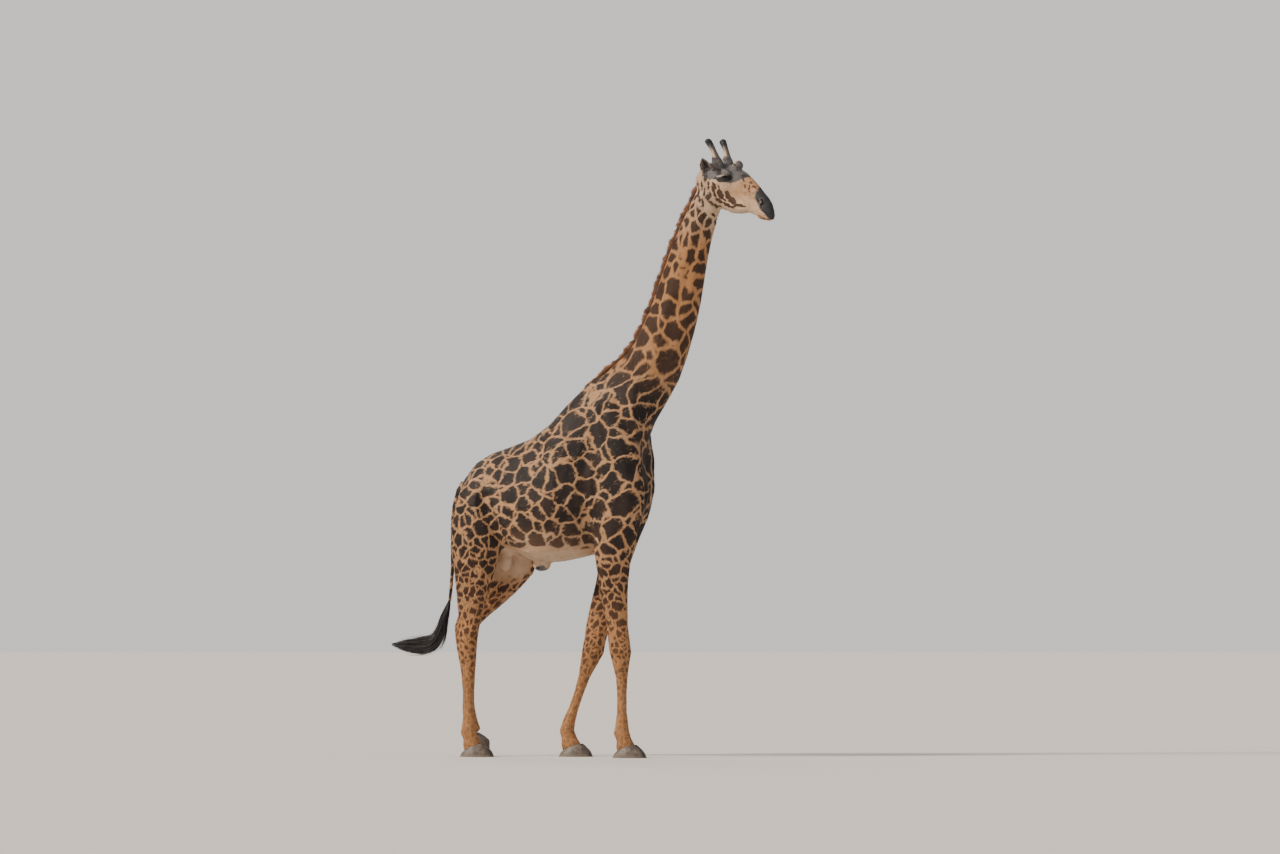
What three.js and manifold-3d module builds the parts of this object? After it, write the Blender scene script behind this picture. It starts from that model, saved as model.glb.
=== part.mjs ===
// A bull Masai giraffe in mid-stride, life size, as a still museum model in closed solids.
//
// Millimetres, +Z up, facing +X, right side at -Y, standing on z = 0. The trunk and neck are one loft whose
// sections fan round the withers, the head and the legs are lofts of their own, and thin cuts part the whole
// into the pieces that a person would name. Every section is an egg-shaped ring between two edge points that
// lie in the side plane: the upper or front edge first, then the lower or rear one.

import * as THREE from "three";
import { LoftGeometry } from "three/addons/geometries/LoftGeometry.js";
import { mergeVertices } from "three/addons/utils/BufferGeometryUtils.js";
import Module from "manifold-3d";

const wasm = await Module();
wasm.setup();

// ---------------------------------------------------------------- driving dimensions

const GAP = 0.3; // between neighbouring pieces
const BODY_SIDES = 22; // points round a section of the trunk and neck
const HEAD_SIDES = 16;
const LEG_SIDES = 12;

const HEAD_AT = new THREE.Vector3(1581, 0, 4947); // the middle of the head, level with the eyes
const HEAD_PITCH = 33; // degrees that the nose points below the horizon
const HEAD_TURN = 8; // degrees that the neck turns the head to its right
const TURN_AXIS_X = 880; // the neck turns about this upright line
const TURN_FROM_Z = 2900; // the turn grows from here
const TURN_TO_Z = 4600; // to here

const EYE_RADIUS = 27;
const EYE = { f: 20, side: 98, up: 20 }; // in the head's own frame: forwards, sideways, up

const OSSICONE = { base: [-141, 96], tip: [-287, 199], baseSide: 100, tipSide: 133, bend: 11 };
const EAR_LENGTH = 190;
const EAR_HALF_WIDTH = 50;
const EAR_CUP = 30; // depth of the ear's hollow
const EAR_WALL = 14;

const HOOF = { length: 290, toeHalf: 53, height: 118, heelHeight: 66, cleft: 5 };

const COAT = { tan: 0xb98d5f, brown: 0x3a2a20, pale: 0xcdb694, grey: 0x6a6058 };
const HORN = { hoof: 0x3b342d, ossicone: 0x8a7a68, hair: 0x17120f, mane: 0x6e3b22, eye: 0x0d0a08 };

// ---------------------------------------------------------------- sections

// One section: its two edge points as [x, z], half its width, and its shape. y is its middle's distance from
// the side plane, egg makes it wider towards the first edge, and square below 1 makes it boxier.
function ring(first, second, half, { y = 0, egg = 0, square = 1 } = {}) {
  return { first, second, half, y, egg, square };
}

const TORSO = [
  ring([-905, 2300], [-880, 2060], 62),
  ring([-862, 2395], [-850, 1950], 140, { egg: -0.1 }),
  ring([-755, 2530], [-740, 1850], 205, { egg: -0.15 }), // croup
  ring([-610, 2612], [-600, 1785], 240, { egg: -0.2 }),
  ring([-440, 2668], [-440, 1740], 285, { egg: -0.25, square: 0.94 }), // loin and flank
  ring([-270, 2730], [-275, 1692], 325, { egg: -0.28, square: 0.92 }),
  ring([-95, 2850], [-110, 1668], 350, { egg: -0.3, square: 0.92 }), // belly
  ring([75, 3030], [50, 1675], 352, { egg: -0.35, square: 0.94 }),
  ring([235, 3185], [210, 1708], 304, { egg: -0.4, square: 0.96 }), // last of the withers
  ring([345, 3262], [370, 1745], 262, { egg: -0.38 }),
  ring([440, 3325], [535, 1795], 232, { egg: -0.32 }),
  ring([535, 3405], [672, 1898], 212, { egg: -0.22 }), // brisket
  ring([610, 3470], [772, 2062], 204, { egg: -0.12 }),
  ring([652, 3520], [838, 2245], 196, { egg: -0.06 }), // point of the chest
  ring([690, 3575], [806, 2420], 185, { egg: -0.03 }),
  ring([716, 3622], [778, 2572], 179),
  ring([736, 3660], [798, 2708], 168), // hollow above the chest
  ring([752, 3692], [866, 2865], 161),
  ring([770, 3725], [976, 3042], 157),
  ring([792, 3770], [1080, 3220], 154), // foot of the neck
  ring([822, 3835], [1158, 3420], 148),
  ring([862, 3935], [1232, 3650], 138),
  ring([928, 4110], [1293, 3880], 124),
  ring([1018, 4340], [1348, 4160], 112),
  ring([1121, 4560], [1404, 4410], 104),
  ring([1212, 4735], [1464, 4590], 98), // below the throat
  ring([1282, 4862], [1512, 4712], 96),
  ring([1330, 4950], [1556, 4790], 84),
];

const HEAD = [
  // [forwards, up] in the head's own frame
  ring([-268, -62], [-255, -190], 50),
  ring([-236, 10], [-225, -226], 86),
  ring([-185, 60], [-175, -242], 110, { egg: 0.05 }), // poll and root of the ossicones
  ring([-110, 92], [-100, -247], 116, { egg: 0.08 }),
  ring([-35, 122], [-30, -250], 114, { egg: 0.12 }),
  ring([40, 138], [40, -254], 105, { egg: 0.14 }), // just before the eyes
  ring([118, 141], [112, -251], 88, { egg: 0.08 }), // angle of the jaw
  ring([198, 129], [185, -228], 77, { egg: 0.02 }),
  ring([275, 113], [262, -186], 69),
  ring([342, 90], [325, -134], 63, { square: 0.92 }),
  ring([398, 75], [388, -118], 61, { square: 0.88 }), // nostrils
  ring([455, 52], [440, -122], 59, { square: 0.86 }),
  ring([505, 12], [485, -104], 50, { square: 0.88 }), // lips
  ring([537, -22], [522, -84], 34),
  ring([550, -46], [545, -66], 12),
];

// Each leg is listed from its hidden top in the body down to the coronet above the hoof.
const FRONT_RIGHT = [
  ring([590, 3110], [395, 3000], 52, { y: -135 }), // top of the shoulder blade
  ring([712, 2830], [400, 2680], 88, { y: -160 }),
  ring([808, 2540], [398, 2380], 108, { y: -180 }),
  ring([848, 2290], [385, 2120], 118, { y: -192 }), // point of the shoulder
  ring([822, 2060], [374, 1905], 112, { y: -200 }),
  ring([772, 1870], [385, 1750], 102, { y: -203 }), // elbow
  ring([722, 1690], [406, 1615], 90, { y: -202 }),
  ring([698, 1490], [438, 1445], 78, { y: -198 }),
  ring([692, 1280], [470, 1262], 67, { y: -194 }),
  ring([694, 1125], [492, 1115], 62, { y: -191 }),
  ring([708, 1015], [506, 1012], 69, { y: -190 }),
  ring([722, 905], [520, 905], 72, { y: -190 }), // knee
  ring([704, 800], [548, 802], 60, { y: -190 }),
  ring([688, 690], [577, 692], 46, { y: -190 }),
  ring([680, 545], [589, 545], 41, { y: -190 }), // cannon
  ring([681, 395], [588, 392], 42, { y: -190 }),
  ring([695, 290], [572, 280], 52, { y: -190 }),
  ring([704, 225], [562, 205], 59, { y: -190 }), // fetlock
  ring([722, 165], [584, 128], 56, { y: -190 }),
  ring([748, 112], [592, 66], 62, { y: -190 }),
];
const FRONT_LEFT = [
  ring([560, 3105], [375, 2995], 52, { y: 135 }),
  ring([665, 2820], [378, 2675], 88, { y: 160 }),
  ring([738, 2535], [370, 2380], 108, { y: 180 }),
  ring([785, 2285], [352, 2130], 118, { y: 192 }),
  ring([738, 2055], [325, 1930], 112, { y: 200 }),
  ring([652, 1868], [308, 1790], 102, { y: 203 }),
  ring([582, 1690], [282, 1660], 90, { y: 202 }),
  ring([518, 1480], [246, 1475], 78, { y: 198 }),
  ring([445, 1265], [203, 1300], 67, { y: 194 }),
  ring([385, 1105], [168, 1145], 62, { y: 191 }),
  ring([350, 985], [150, 1020], 69, { y: 190 }),
  ring([328, 880], [132, 920], 72, { y: 190 }),
  ring([268, 782], [118, 822], 60, { y: 190 }),
  ring([206, 680], [102, 716], 46, { y: 190 }),
  ring([150, 545], [64, 574], 41, { y: 190 }),
  ring([98, 400], [12, 430], 42, { y: 190 }),
  ring([72, 300], [-42, 322], 52, { y: 190 }),
  ring([62, 228], [-70, 236], 59, { y: 190 }),
  ring([86, 166], [-62, 150], 56, { y: 190 }),
  ring([116, 112], [-46, 70], 62, { y: 190 }),
];
const HIND_RIGHT = [
  ring([-560, 2520], [-745, 2450], 50, { y: -110 }), // hip
  ring([-480, 2370], [-838, 2310], 92, { y: -140 }),
  ring([-438, 2190], [-900, 2150], 116, { y: -158 }),
  ring([-425, 2005], [-934, 1985], 128, { y: -168 }), // thigh
  ring([-448, 1845], [-940, 1830], 124, { y: -172 }),
  ring([-500, 1685], [-922, 1680], 110, { y: -172 }), // stifle
  ring([-548, 1540], [-902, 1530], 94, { y: -170 }),
  ring([-590, 1415], [-888, 1395], 80, { y: -169 }),
  ring([-640, 1240], [-872, 1225], 64, { y: -168 }),
  ring([-672, 1118], [-870, 1112], 58, { y: -168 }),
  ring([-688, 1015], [-884, 1020], 61, { y: -168 }),
  ring([-696, 930], [-888, 945], 63, { y: -168 }), // hock
  ring([-703, 830], [-866, 838], 57, { y: -168 }),
  ring([-712, 715], [-836, 720], 47, { y: -168 }),
  ring([-720, 555], [-820, 555], 42, { y: -168 }), // cannon
  ring([-720, 400], [-821, 395], 42, { y: -168 }),
  ring([-708, 292], [-836, 282], 51, { y: -168 }),
  ring([-700, 225], [-845, 205], 57, { y: -168 }), // fetlock
  ring([-682, 163], [-824, 128], 54, { y: -168 }),
  ring([-658, 110], [-814, 66], 60, { y: -168 }),
];
const HIND_LEFT = [
  ring([-540, 2520], [-735, 2450], 50, { y: 110 }),
  ring([-425, 2375], [-830, 2310], 92, { y: 140 }),
  ring([-345, 2195], [-885, 2150], 116, { y: 158 }),
  ring([-285, 2010], [-900, 1995], 126, { y: 168 }),
  ring([-258, 1850], [-865, 1865], 120, { y: 172 }),
  ring([-258, 1705], [-815, 1770], 108, { y: 172 }),
  ring([-302, 1575], [-768, 1690], 95, { y: 170 }),
  ring([-400, 1468], [-748, 1608], 84, { y: 169 }), // swung forward at the stifle
  ring([-505, 1370], [-772, 1520], 74, { y: 168 }),
  ring([-608, 1286], [-832, 1420], 65, { y: 168 }),
  ring([-705, 1212], [-908, 1318], 60, { y: 168 }),
  ring([-788, 1136], [-992, 1222], 61, { y: 168 }),
  ring([-838, 1055], [-1030, 1122], 63, { y: 168 }), // hock, raised
  ring([-855, 960], [-1022, 1000], 58, { y: 168 }),
  ring([-862, 850], [-995, 870], 49, { y: 168 }),
  ring([-862, 700], [-968, 705], 42, { y: 168 }),
  ring([-852, 535], [-955, 530], 42, { y: 168 }),
  ring([-840, 415], [-958, 400], 50, { y: 168 }),
  ring([-826, 345], [-952, 305], 56, { y: 168 }),
  ring([-808, 285], [-915, 225], 54, { y: 168 }),
  ring([-790, 240], [-895, 160], 58, { y: 168 }),
];
// Where each foot's hoof stands: its heel, its middle's y, and how far the heel is lifted.
const LEGS = {
  front_right: { rings: FRONT_RIGHT, bodyCut: 1905, jointCut: 860, heel: 560, y: -190 },
  front_left: { rings: FRONT_LEFT, bodyCut: 1905, jointCut: 850, heel: -70, y: 190 },
  hind_right: { rings: HIND_RIGHT, bodyCut: 1985, jointCut: 890, heel: -842, y: -168 },
  hind_left: { rings: HIND_LEFT, bodyCut: 1985, jointCut: 1000, heel: -955, y: 168, lift: 50 },
};

const TAIL = [
  ring([-840, 2330], [-900, 2375], 30),
  ring([-872, 2240], [-952, 2290], 38), // dock
  ring([-922, 2120], [-990, 2150], 30),
  ring([-952, 1930], [-1004, 1940], 23),
  ring([-962, 1680], [-1002, 1685], 19),
  ring([-978, 1460], [-1014, 1465], 17),
  ring([-992, 1335], [-1026, 1342], 16),
];
const TUFT = [
  ring([-990, 1334], [-1028, 1342], 18, { y: 0 }),
  ring([-992, 1270], [-1062, 1292], 36, { y: -4 }),
  ring([-1000, 1180], [-1102, 1210], 50, { y: -10 }),
  ring([-1012, 1080], [-1132, 1120], 56, { y: -18 }),
  ring([-1050, 965], [-1150, 1062], 56, { y: -26 }),
  ring([-1130, 880], [-1190, 1032], 52, { y: -34 }), // the flick backwards
  ring([-1235, 862], [-1265, 1020], 44, { y: -42 }),
  ring([-1340, 882], [-1352, 1006], 34, { y: -50 }),
  ring([-1440, 915], [-1445, 990], 22, { y: -57 }),
  ring([-1520, 952], [-1521, 968], 6, { y: -62 }),
];

// The mane stands on the crest of the neck: height above it at each share of its length.
const MANE = { height: 58, half: 19, root: 30, from: 8, to: 27 }; // from and to: stations of TORSO

// Lumps that the lofts can't make: centre, radii, and the name of what they are.
const BUMP = { at: [10, 0, 146], radii: [48, 44, 44] }; // the third, median ossicone
const BROW = { at: [4, 84, 42], radii: [62, 36, 46] };
const SHEATH = { at: [-165, 0, 1652], radii: [88, 46, 62] };
const PURSE = { at: [-500, 0, 1705], radii: [72, 58, 118] };

// ---------------------------------------------------------------- from sections to solids

// Turns a point of the neck or head to the giraffe's right, more the higher it is.
function turned(point) {
  const share = THREE.MathUtils.smoothstep(point.z, TURN_FROM_Z, TURN_TO_Z);
  const angle = THREE.MathUtils.degToRad(-HEAD_TURN * share);
  const x = point.x - TURN_AXIS_X;
  return new THREE.Vector3(
    TURN_AXIS_X + x * Math.cos(angle) - point.y * Math.sin(angle),
    x * Math.sin(angle) + point.y * Math.cos(angle),
    point.z,
  );
}

const headFrame = new THREE.Matrix4()
  .makeRotationY(THREE.MathUtils.degToRad(HEAD_PITCH))
  .setPosition(HEAD_AT);
const inHead = (point) => turned(point.clone().applyMatrix4(headFrame));

// The ring's points, listed so that the loft faces out.
function ringPoints(section, sides, place, grow) {
  const first = new THREE.Vector2(...section.first);
  const second = new THREE.Vector2(...section.second);
  const middle = first.clone().add(second).divideScalar(2);
  const reach = first.clone().sub(middle);
  reach.setLength(reach.length() + grow);
  const bent = (value) => Math.sign(value) * Math.abs(value) ** section.square;
  return Array.from({ length: sides }, (_, i) => {
    const angle = (2 * Math.PI * i) / sides;
    const along = bent(Math.cos(angle));
    const across = bent(Math.sin(angle)) * (section.half + grow) * (1 + section.egg * along);
    const x = middle.x + reach.x * along;
    const z = middle.y + reach.y * along;
    return place(new THREE.Vector3(x, section.y - across, z));
  });
}

// A smooth run of sections through the given ones, about `step` apart along the middle.
function smoothRun(rings, step) {
  const flat = rings.map((r) => [...r.first, ...r.second, r.y, r.half, r.egg, r.square]);
  const middles = flat.map(([x1, z1, x2, z2]) => new THREE.Vector2((x1 + x2) / 2, (z1 + z2) / 2));
  const reaches = middles.map((m, i) => {
    if (i === 0) return 0;
    const before = flat[i - 1];
    const now = flat[i];
    const edge = (k) => Math.hypot(now[k] - before[k], now[k + 1] - before[k + 1]);
    return Math.max(m.distanceTo(middles[i - 1]), edge(0) / 2, edge(2) / 2);
  });
  const places = [];
  reaches.reduce((sum, reach) => (places.push(sum + reach), sum + reach), 0);
  const track = new THREE.CubicInterpolant(places, flat.flat(), flat[0].length);
  const run = [];
  places.slice(0, -1).forEach((start, i) => {
    const pieces = Math.max(1, Math.round((places[i + 1] - start) / step));
    for (let k = 0; k < pieces; k++) run.push(start + ((places[i + 1] - start) * k) / pieces);
  });
  run.push(places.at(-1));
  return run.map((at) => {
    const [x1, z1, x2, z2, y, half, egg, square] = Array.from(track.evaluate(at));
    return ring([x1, z1], [x2, z2], half, { y, egg, square });
  });
}

function solidOf(geometry) {
  const bare = new THREE.BufferGeometry().copy(geometry);
  for (const name of ["normal", "uv"]) bare.deleteAttribute(name);
  const merged = mergeVertices(bare, 1e-3);
  return new wasm.Manifold(
    new wasm.Mesh({
      numProp: 3,
      vertProperties: merged.attributes.position.array,
      triVerts: new Uint32Array(merged.index.array),
    }),
  );
}

function geometryOf(solid) {
  const mesh = solid.getMesh();
  const geometry = new THREE.BufferGeometry();
  geometry.setAttribute("position", new THREE.BufferAttribute(mesh.vertProperties, mesh.numProp));
  geometry.setIndex(new THREE.BufferAttribute(mesh.triVerts, 1));
  geometry.computeVertexNormals();
  return geometry;
}

const centreOf = (points) =>
  points.reduce((sum, p) => sum.add(p), new THREE.Vector3()).divideScalar(points.length);

function movedAway(section, neighbour, distance) {
  const way = centreOf(section).sub(centreOf(neighbour)).setLength(distance);
  return section.map((point) => point.clone().add(way));
}

function loft(rings, { sides, step, place = (point) => point, grow = 0 }) {
  const sections = smoothRun(rings, step).map((r) => ringPoints(r, sides, place, grow));
  if (grow) {
    sections[0] = movedAway(sections[0], sections[1], grow);
    sections.push(movedAway(sections.pop(), sections.at(-1), grow));
  }
  return solidOf(new LoftGeometry(sections, { capStart: true, capEnd: true }));
}

function lump({ at, radii }, place = (point) => point, grow = 0) {
  const ball = new THREE.SphereGeometry(1, 12, 8);
  ball.rotateX(Math.PI / 2);
  ball.scale(...radii.map((r) => r + grow));
  ball.translate(...at);
  const position = ball.getAttribute("position");
  for (let i = 0; i < position.count; i++) {
    const moved = place(new THREE.Vector3().fromBufferAttribute(position, i));
    position.setXYZ(i, moved.x, moved.y, moved.z);
  }
  return solidOf(ball);
}

// A box that fills everything on the side of a plane that `normal` points to.
const FAR = 8000;
function beyond(point, normal) {
  const slab = new THREE.BoxGeometry(2 * FAR, 2 * FAR, FAR);
  slab.translate(0, 0, FAR / 2);
  const turn = new THREE.Quaternion().setFromUnitVectors(
    new THREE.Vector3(0, 0, 1),
    normal.clone().normalize(),
  );
  slab.applyQuaternion(turn);
  slab.translate(point.x, point.y, point.z);
  return solidOf(slab);
}

// Parts a solid with a plane: what lies behind it and what lies beyond it, a gap apart.
function partedBy(solid, point, normal) {
  const shift = normal.clone().normalize().multiplyScalar(GAP);
  return {
    behind: solid.subtract(beyond(point, normal)),
    beyond: solid.intersect(beyond(point.clone().add(shift), normal)),
  };
}

const UP = new THREE.Vector3(0, 0, 1);
const level = (z) => new THREE.Vector3(0, 0, z);

// ---------------------------------------------------------------- trunk and neck

const torso = (grow) => loft(TORSO, { sides: BODY_SIDES, step: 125, place: turned, grow });
const legLoft = (rings, grow) => loft(rings, { sides: LEG_SIDES, step: 130, grow });

// The cut across the neck's foot and the one half-way up, each through two of TORSO's edge points.
function neckPlane(station) {
  const { first, second } = TORSO[station];
  const point = turned(new THREE.Vector3(first[0], 0, first[1]));
  const along = turned(new THREE.Vector3(second[0], 0, second[1])).sub(point);
  return { point, normal: new THREE.Vector3(-along.z, 0, along.x) };
}
const NECK_FOOT = 19;
const NECK_HALF = 23;

function makeHead(grow) {
  const mirrored = ({ at, radii }) => ({ at: [at[0], -at[1], at[2]], radii });
  return loft(HEAD, { sides: HEAD_SIDES, step: 60, place: inHead, grow })
    .add(lump(BUMP, inHead, grow))
    .add(lump(BROW, inHead, grow))
    .add(lump(mirrored(BROW), inHead, grow));
}

const pieces = [];
function piece(name, solid, colour, roughness = 0.85) {
  const material = new THREE.MeshStandardMaterial({ color: colour, roughness, metalness: 0 });
  const mesh = new THREE.Mesh(geometryOf(solid), material);
  mesh.name = name;
  pieces.push(mesh);
}

const wholeTorso = torso(0);
const torsoGrown = torso(GAP);
const foot = neckPlane(NECK_FOOT);
const half = neckPlane(NECK_HALF);
const atFoot = partedBy(wholeTorso, foot.point, foot.normal);
const atHalf = partedBy(atFoot.beyond, half.point, half.normal);

// ---------------------------------------------------------------- legs and hooves

// One toe of a hoof: level slices from the coronet down to the sole, flat on the side of the cleft.
const HOOF_SLICES = 5;
const HOOF_SIDES = 12;
function makeToe(leg, side) {
  const slices = [];
  for (let i = 0; i < HOOF_SLICES; i++) {
    const down = i / (HOOF_SLICES - 1);
    const spread = Math.sin((down * Math.PI) / 2);
    const heel = THREE.MathUtils.lerp(46, 0, spread);
    const toe = THREE.MathUtils.lerp(HOOF.length - 92, HOOF.length, spread);
    const halfWidth = THREE.MathUtils.lerp(HOOF.toeHalf - 16, HOOF.toeHalf, spread);
    const points = [];
    for (let k = 0; k < HOOF_SIDES; k++) {
      const angle = (2 * Math.PI * k) / HOOF_SIDES;
      const lengthwise = (1 + Math.cos(angle)) / 2;
      const sideways = Math.sin(angle) * side;
      const taper = 1 - 0.25 * lengthwise ** 3;
      const inner = sideways < 0 ? 0.72 : 1;
      const x = heel + (toe - heel) * lengthwise;
      const top = THREE.MathUtils.lerp(HOOF.heelHeight, HOOF.height, lengthwise);
      const y = side * (HOOF.cleft / 2 + halfWidth * 0.72 + sideways * halfWidth * taper * inner);
      points.push(new THREE.Vector3(x, y, top * (1 - down)));
    }
    slices.push(points.reverse());
  }
  const geometry = new LoftGeometry(slices, { capStart: true, capEnd: true });
  if (leg.lift) {
    // tipped forward on to the point of the toe, which the floor then cuts flat
    geometry.translate(-HOOF.length, 0, 0);
    geometry.rotateY(THREE.MathUtils.degToRad(leg.lift));
    geometry.translate(HOOF.length * 0.72, 0, -9);
  }
  geometry.translate(leg.heel, leg.y, 0);
  return solidOf(geometry);
}

const bodyTops = [];
for (const [name, leg] of Object.entries(LEGS)) {
  const whole = legLoft(leg.rings, 0);
  const { behind: lower, beyond: top } = partedBy(whole, level(leg.bodyCut), UP);
  bodyTops.push(top);
  const { behind: shin, beyond: arm } = partedBy(
    lower.subtract(torsoGrown),
    level(leg.jointCut),
    UP,
  );
  const limb = name.startsWith("front") ? ["forearm", "foreleg"] : ["thigh", "hind_shank"];
  piece(`${limb[0]}_${name}`, arm, COAT.tan);
  piece(`${limb[1]}_${name}`, shin, COAT.tan);
  const legGrown = legLoft(leg.rings, GAP);
  for (const [label, side] of [["left", 1], ["right", -1]]) {
    const toe = makeToe(leg, side).subtract(legGrown).intersect(beyond(level(0), UP));
    piece(`hoof_${name}_toe_${label}`, toe, HORN.hoof, 0.55);
  }
}

// ---------------------------------------------------------------- tail, mane, trunk

const tail = loft(TAIL, { sides: 10, step: 120 });
const trunk = bodyTops
  .reduce((sum, top) => sum.add(top), atFoot.behind)
  .add(lump(SHEATH))
  .add(lump(PURSE))
  .subtract(loft(TAIL, { sides: 10, step: 120, grow: GAP }));
const tuftCut = loft(TAIL, { sides: 10, step: 120, grow: GAP });
piece("trunk", trunk, COAT.brown);
piece("tail", tail, COAT.brown);
piece("tail_tuft", loft(TUFT, { sides: 12, step: 90 }).subtract(tuftCut), HORN.hair, 0.6);

const crest = TORSO.slice(MANE.from, MANE.to).map(({ first, second }, i, all) => {
  const share = i / (all.length - 1);
  const outward = new THREE.Vector2(first[0] - second[0], first[1] - second[1]).normalize();
  const rise = MANE.height * Math.sin(Math.PI * (0.06 + 0.86 * share)) ** 0.45;
  const edge = (reach) => [first[0] + outward.x * reach, first[1] + outward.y * reach];
  return ring(edge(rise), edge(-MANE.root), MANE.half, { egg: -0.3 });
});
piece(
  "mane",
  loft(crest, { sides: 8, step: 120, place: turned }).subtract(torsoGrown).subtract(makeHead(GAP)),
  HORN.mane,
);

// ---------------------------------------------------------------- head

const headGrown = makeHead(GAP);
piece("neck_lower", atHalf.behind, COAT.tan);
piece("neck_upper", atHalf.beyond.subtract(headGrown), COAT.tan);

const eyeAt = (side) => ({ at: [EYE.f, side * EYE.side, EYE.up], radii: Array(3).fill(EYE_RADIUS) });
const bareHead = [1, -1].reduce(
  (head, side) => head.subtract(lump(eyeAt(side), inHead, GAP)),
  makeHead(0),
);

// The mouth's cut runs back from between the lips to behind the angle of the jaw.
const mouthFront = inHead(new THREE.Vector3(520, 0, -78));
const mouthBack = inHead(new THREE.Vector3(60, 0, -150));
const mouthLine = mouthBack.clone().sub(mouthFront);
const mouthNormal = mouthLine.clone().cross(new THREE.Vector3(0, 1, 0));
const jawBlock = (inset) => {
  const lip = mouthFront.clone().add(mouthNormal.clone().setLength(inset));
  const angle = inHead(new THREE.Vector3(60 + inset, 0, 0));
  return beyond(lip, mouthNormal).subtract(beyond(angle, mouthLine));
};
piece("head", bareHead.subtract(jawBlock(0)), COAT.tan);
piece("lower_jaw", bareHead.intersect(jawBlock(GAP)), COAT.pale);

for (const [label, side] of [["left", 1], ["right", -1]]) {
  piece(`eye_${label}`, lump(eyeAt(side), inHead), HORN.eye, 0.1);
}

function makeOssicone(side) {
  const base = new THREE.Vector2(...OSSICONE.base);
  const tip = new THREE.Vector2(...OSSICONE.tip);
  const axis = tip.clone().sub(base).normalize();
  const front = new THREE.Vector2(axis.y, -axis.x);
  const girths = [[1.13, 10], [1.09, 23], [0.98, 32], [0.8, 30], [0.5, 26], [0.22, 32], [-0.15, 44]];
  const rings = girths.map(([share, radius]) => {
    const bend = OSSICONE.bend * Math.sin(Math.PI * THREE.MathUtils.clamp(share, 0, 1));
    const middle = base.clone().lerp(tip, share).addScaledVector(front, bend);
    const edge = (sign) => middle.clone().addScaledVector(front, sign * radius).toArray();
    const y = side * THREE.MathUtils.lerp(OSSICONE.baseSide, OSSICONE.tipSide, share);
    return ring(edge(1), edge(-1), radius, { y });
  });
  return loft(rings, { sides: 12, step: 40, place: inHead });
}

// A leaf of constant wall, cupped across its width, from its root to its tip.
const EAR_STATIONS = 8;
const EAR_ACROSS = 6;
function makeEar(side) {
  const root = new THREE.Vector3(-120, side * 86, -50);
  const point = new THREE.Vector3(-222, side * 192, 52);
  const along = point.clone().sub(root).normalize();
  const hollow = new THREE.Vector3(0.35, side * 0.75, -0.3); // the way that the hollow faces
  const across = new THREE.Vector3().crossVectors(hollow, along).normalize();
  const face = new THREE.Vector3().crossVectors(along, across).normalize();
  const sections = [];
  for (let i = 0; i < EAR_STATIONS; i++) {
    const share = i / (EAR_STATIONS - 1);
    const half = 5 + EAR_HALF_WIDTH * Math.sin(Math.PI * (0.16 + 0.84 * share) ** 0.9) ** 0.85;
    const cup = EAR_CUP * (half / EAR_HALF_WIDTH) * (1 - 0.4 * share);
    const middle = root.clone().addScaledVector(along, share * EAR_LENGTH);
    const edge = [];
    for (let k = 0; k <= EAR_ACROSS; k++) {
      const swing = (2 * k) / EAR_ACROSS - 1;
      edge.push([swing * half, cup * swing * swing - cup]);
    }
    const outer = edge.map(([u, v]) => [u, v - EAR_WALL]);
    const walk = [...edge.slice(1, -1), ...outer.reverse()];
    const points = walk.map(([u, v]) =>
      inHead(middle.clone().addScaledVector(across, u).addScaledVector(face, v)),
    );
    sections.push(points.reverse());
  }
  return solidOf(new LoftGeometry(sections, { capStart: true, capEnd: true }));
}

for (const [label, side] of [["left", 1], ["right", -1]]) {
  piece(`ossicone_${label}`, makeOssicone(side).subtract(headGrown), HORN.ossicone, 0.8);
  piece(`ear_${label}`, makeEar(side).subtract(headGrown), COAT.pale);
}

// ---------------------------------------------------------------- one group, its origin under its middle

const giraffe = new THREE.Group();
giraffe.add(...pieces);
const box = new THREE.Box3().setFromObject(giraffe);
giraffe.position.set(-(box.min.x + box.max.x) / 2, -(box.min.y + box.max.y) / 2, -box.min.z);
export default giraffe;
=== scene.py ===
"""A bull Masai giraffe dressed over its solids: one skin, a patterned coat, hair, eyes, horns and hooves.

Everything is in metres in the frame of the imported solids. Places on the body are given in a straight frame,
where the neck isn't turned. Places on the head are given in the head's own frame: f is forwards, y is to its
left and d is up, from a point between the eyes.
"""

import logging
import math
from collections.abc import Iterator
from contextlib import contextmanager
from dataclasses import dataclass, field
from enum import Enum

import bmesh
import bpy
import numpy as np
from mathutils import Matrix, Vector
from mathutils.bvhtree import BVHTree


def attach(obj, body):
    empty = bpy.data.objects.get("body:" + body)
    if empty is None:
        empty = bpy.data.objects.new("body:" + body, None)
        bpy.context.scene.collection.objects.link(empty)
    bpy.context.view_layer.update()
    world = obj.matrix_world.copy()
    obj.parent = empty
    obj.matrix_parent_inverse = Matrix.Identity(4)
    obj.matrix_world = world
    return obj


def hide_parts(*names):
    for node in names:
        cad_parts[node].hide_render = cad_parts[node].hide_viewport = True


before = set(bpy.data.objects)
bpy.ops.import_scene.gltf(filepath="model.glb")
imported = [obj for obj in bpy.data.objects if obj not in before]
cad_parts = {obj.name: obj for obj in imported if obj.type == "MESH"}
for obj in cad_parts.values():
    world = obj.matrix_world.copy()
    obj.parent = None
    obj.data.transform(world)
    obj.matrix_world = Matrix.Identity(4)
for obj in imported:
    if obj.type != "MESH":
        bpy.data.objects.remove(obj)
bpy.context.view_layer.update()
LOG = logging.getLogger("giraffe")
BODY = "root"
SIDES = (1.0, -1.0)

Array = np.ndarray
Colour = tuple[float, float, float]


# ---------------------------------------------------------------- frames and number helpers


def smooth(low: float, high: float, value: Array) -> Array:
    """Returns 0 below low, 1 above high (or the reverse, if low is the greater) and a smooth step between."""
    share = np.clip((value - low) / (high - low), 0.0, 1.0)
    return share * share * (3.0 - 2.0 * share)


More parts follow.
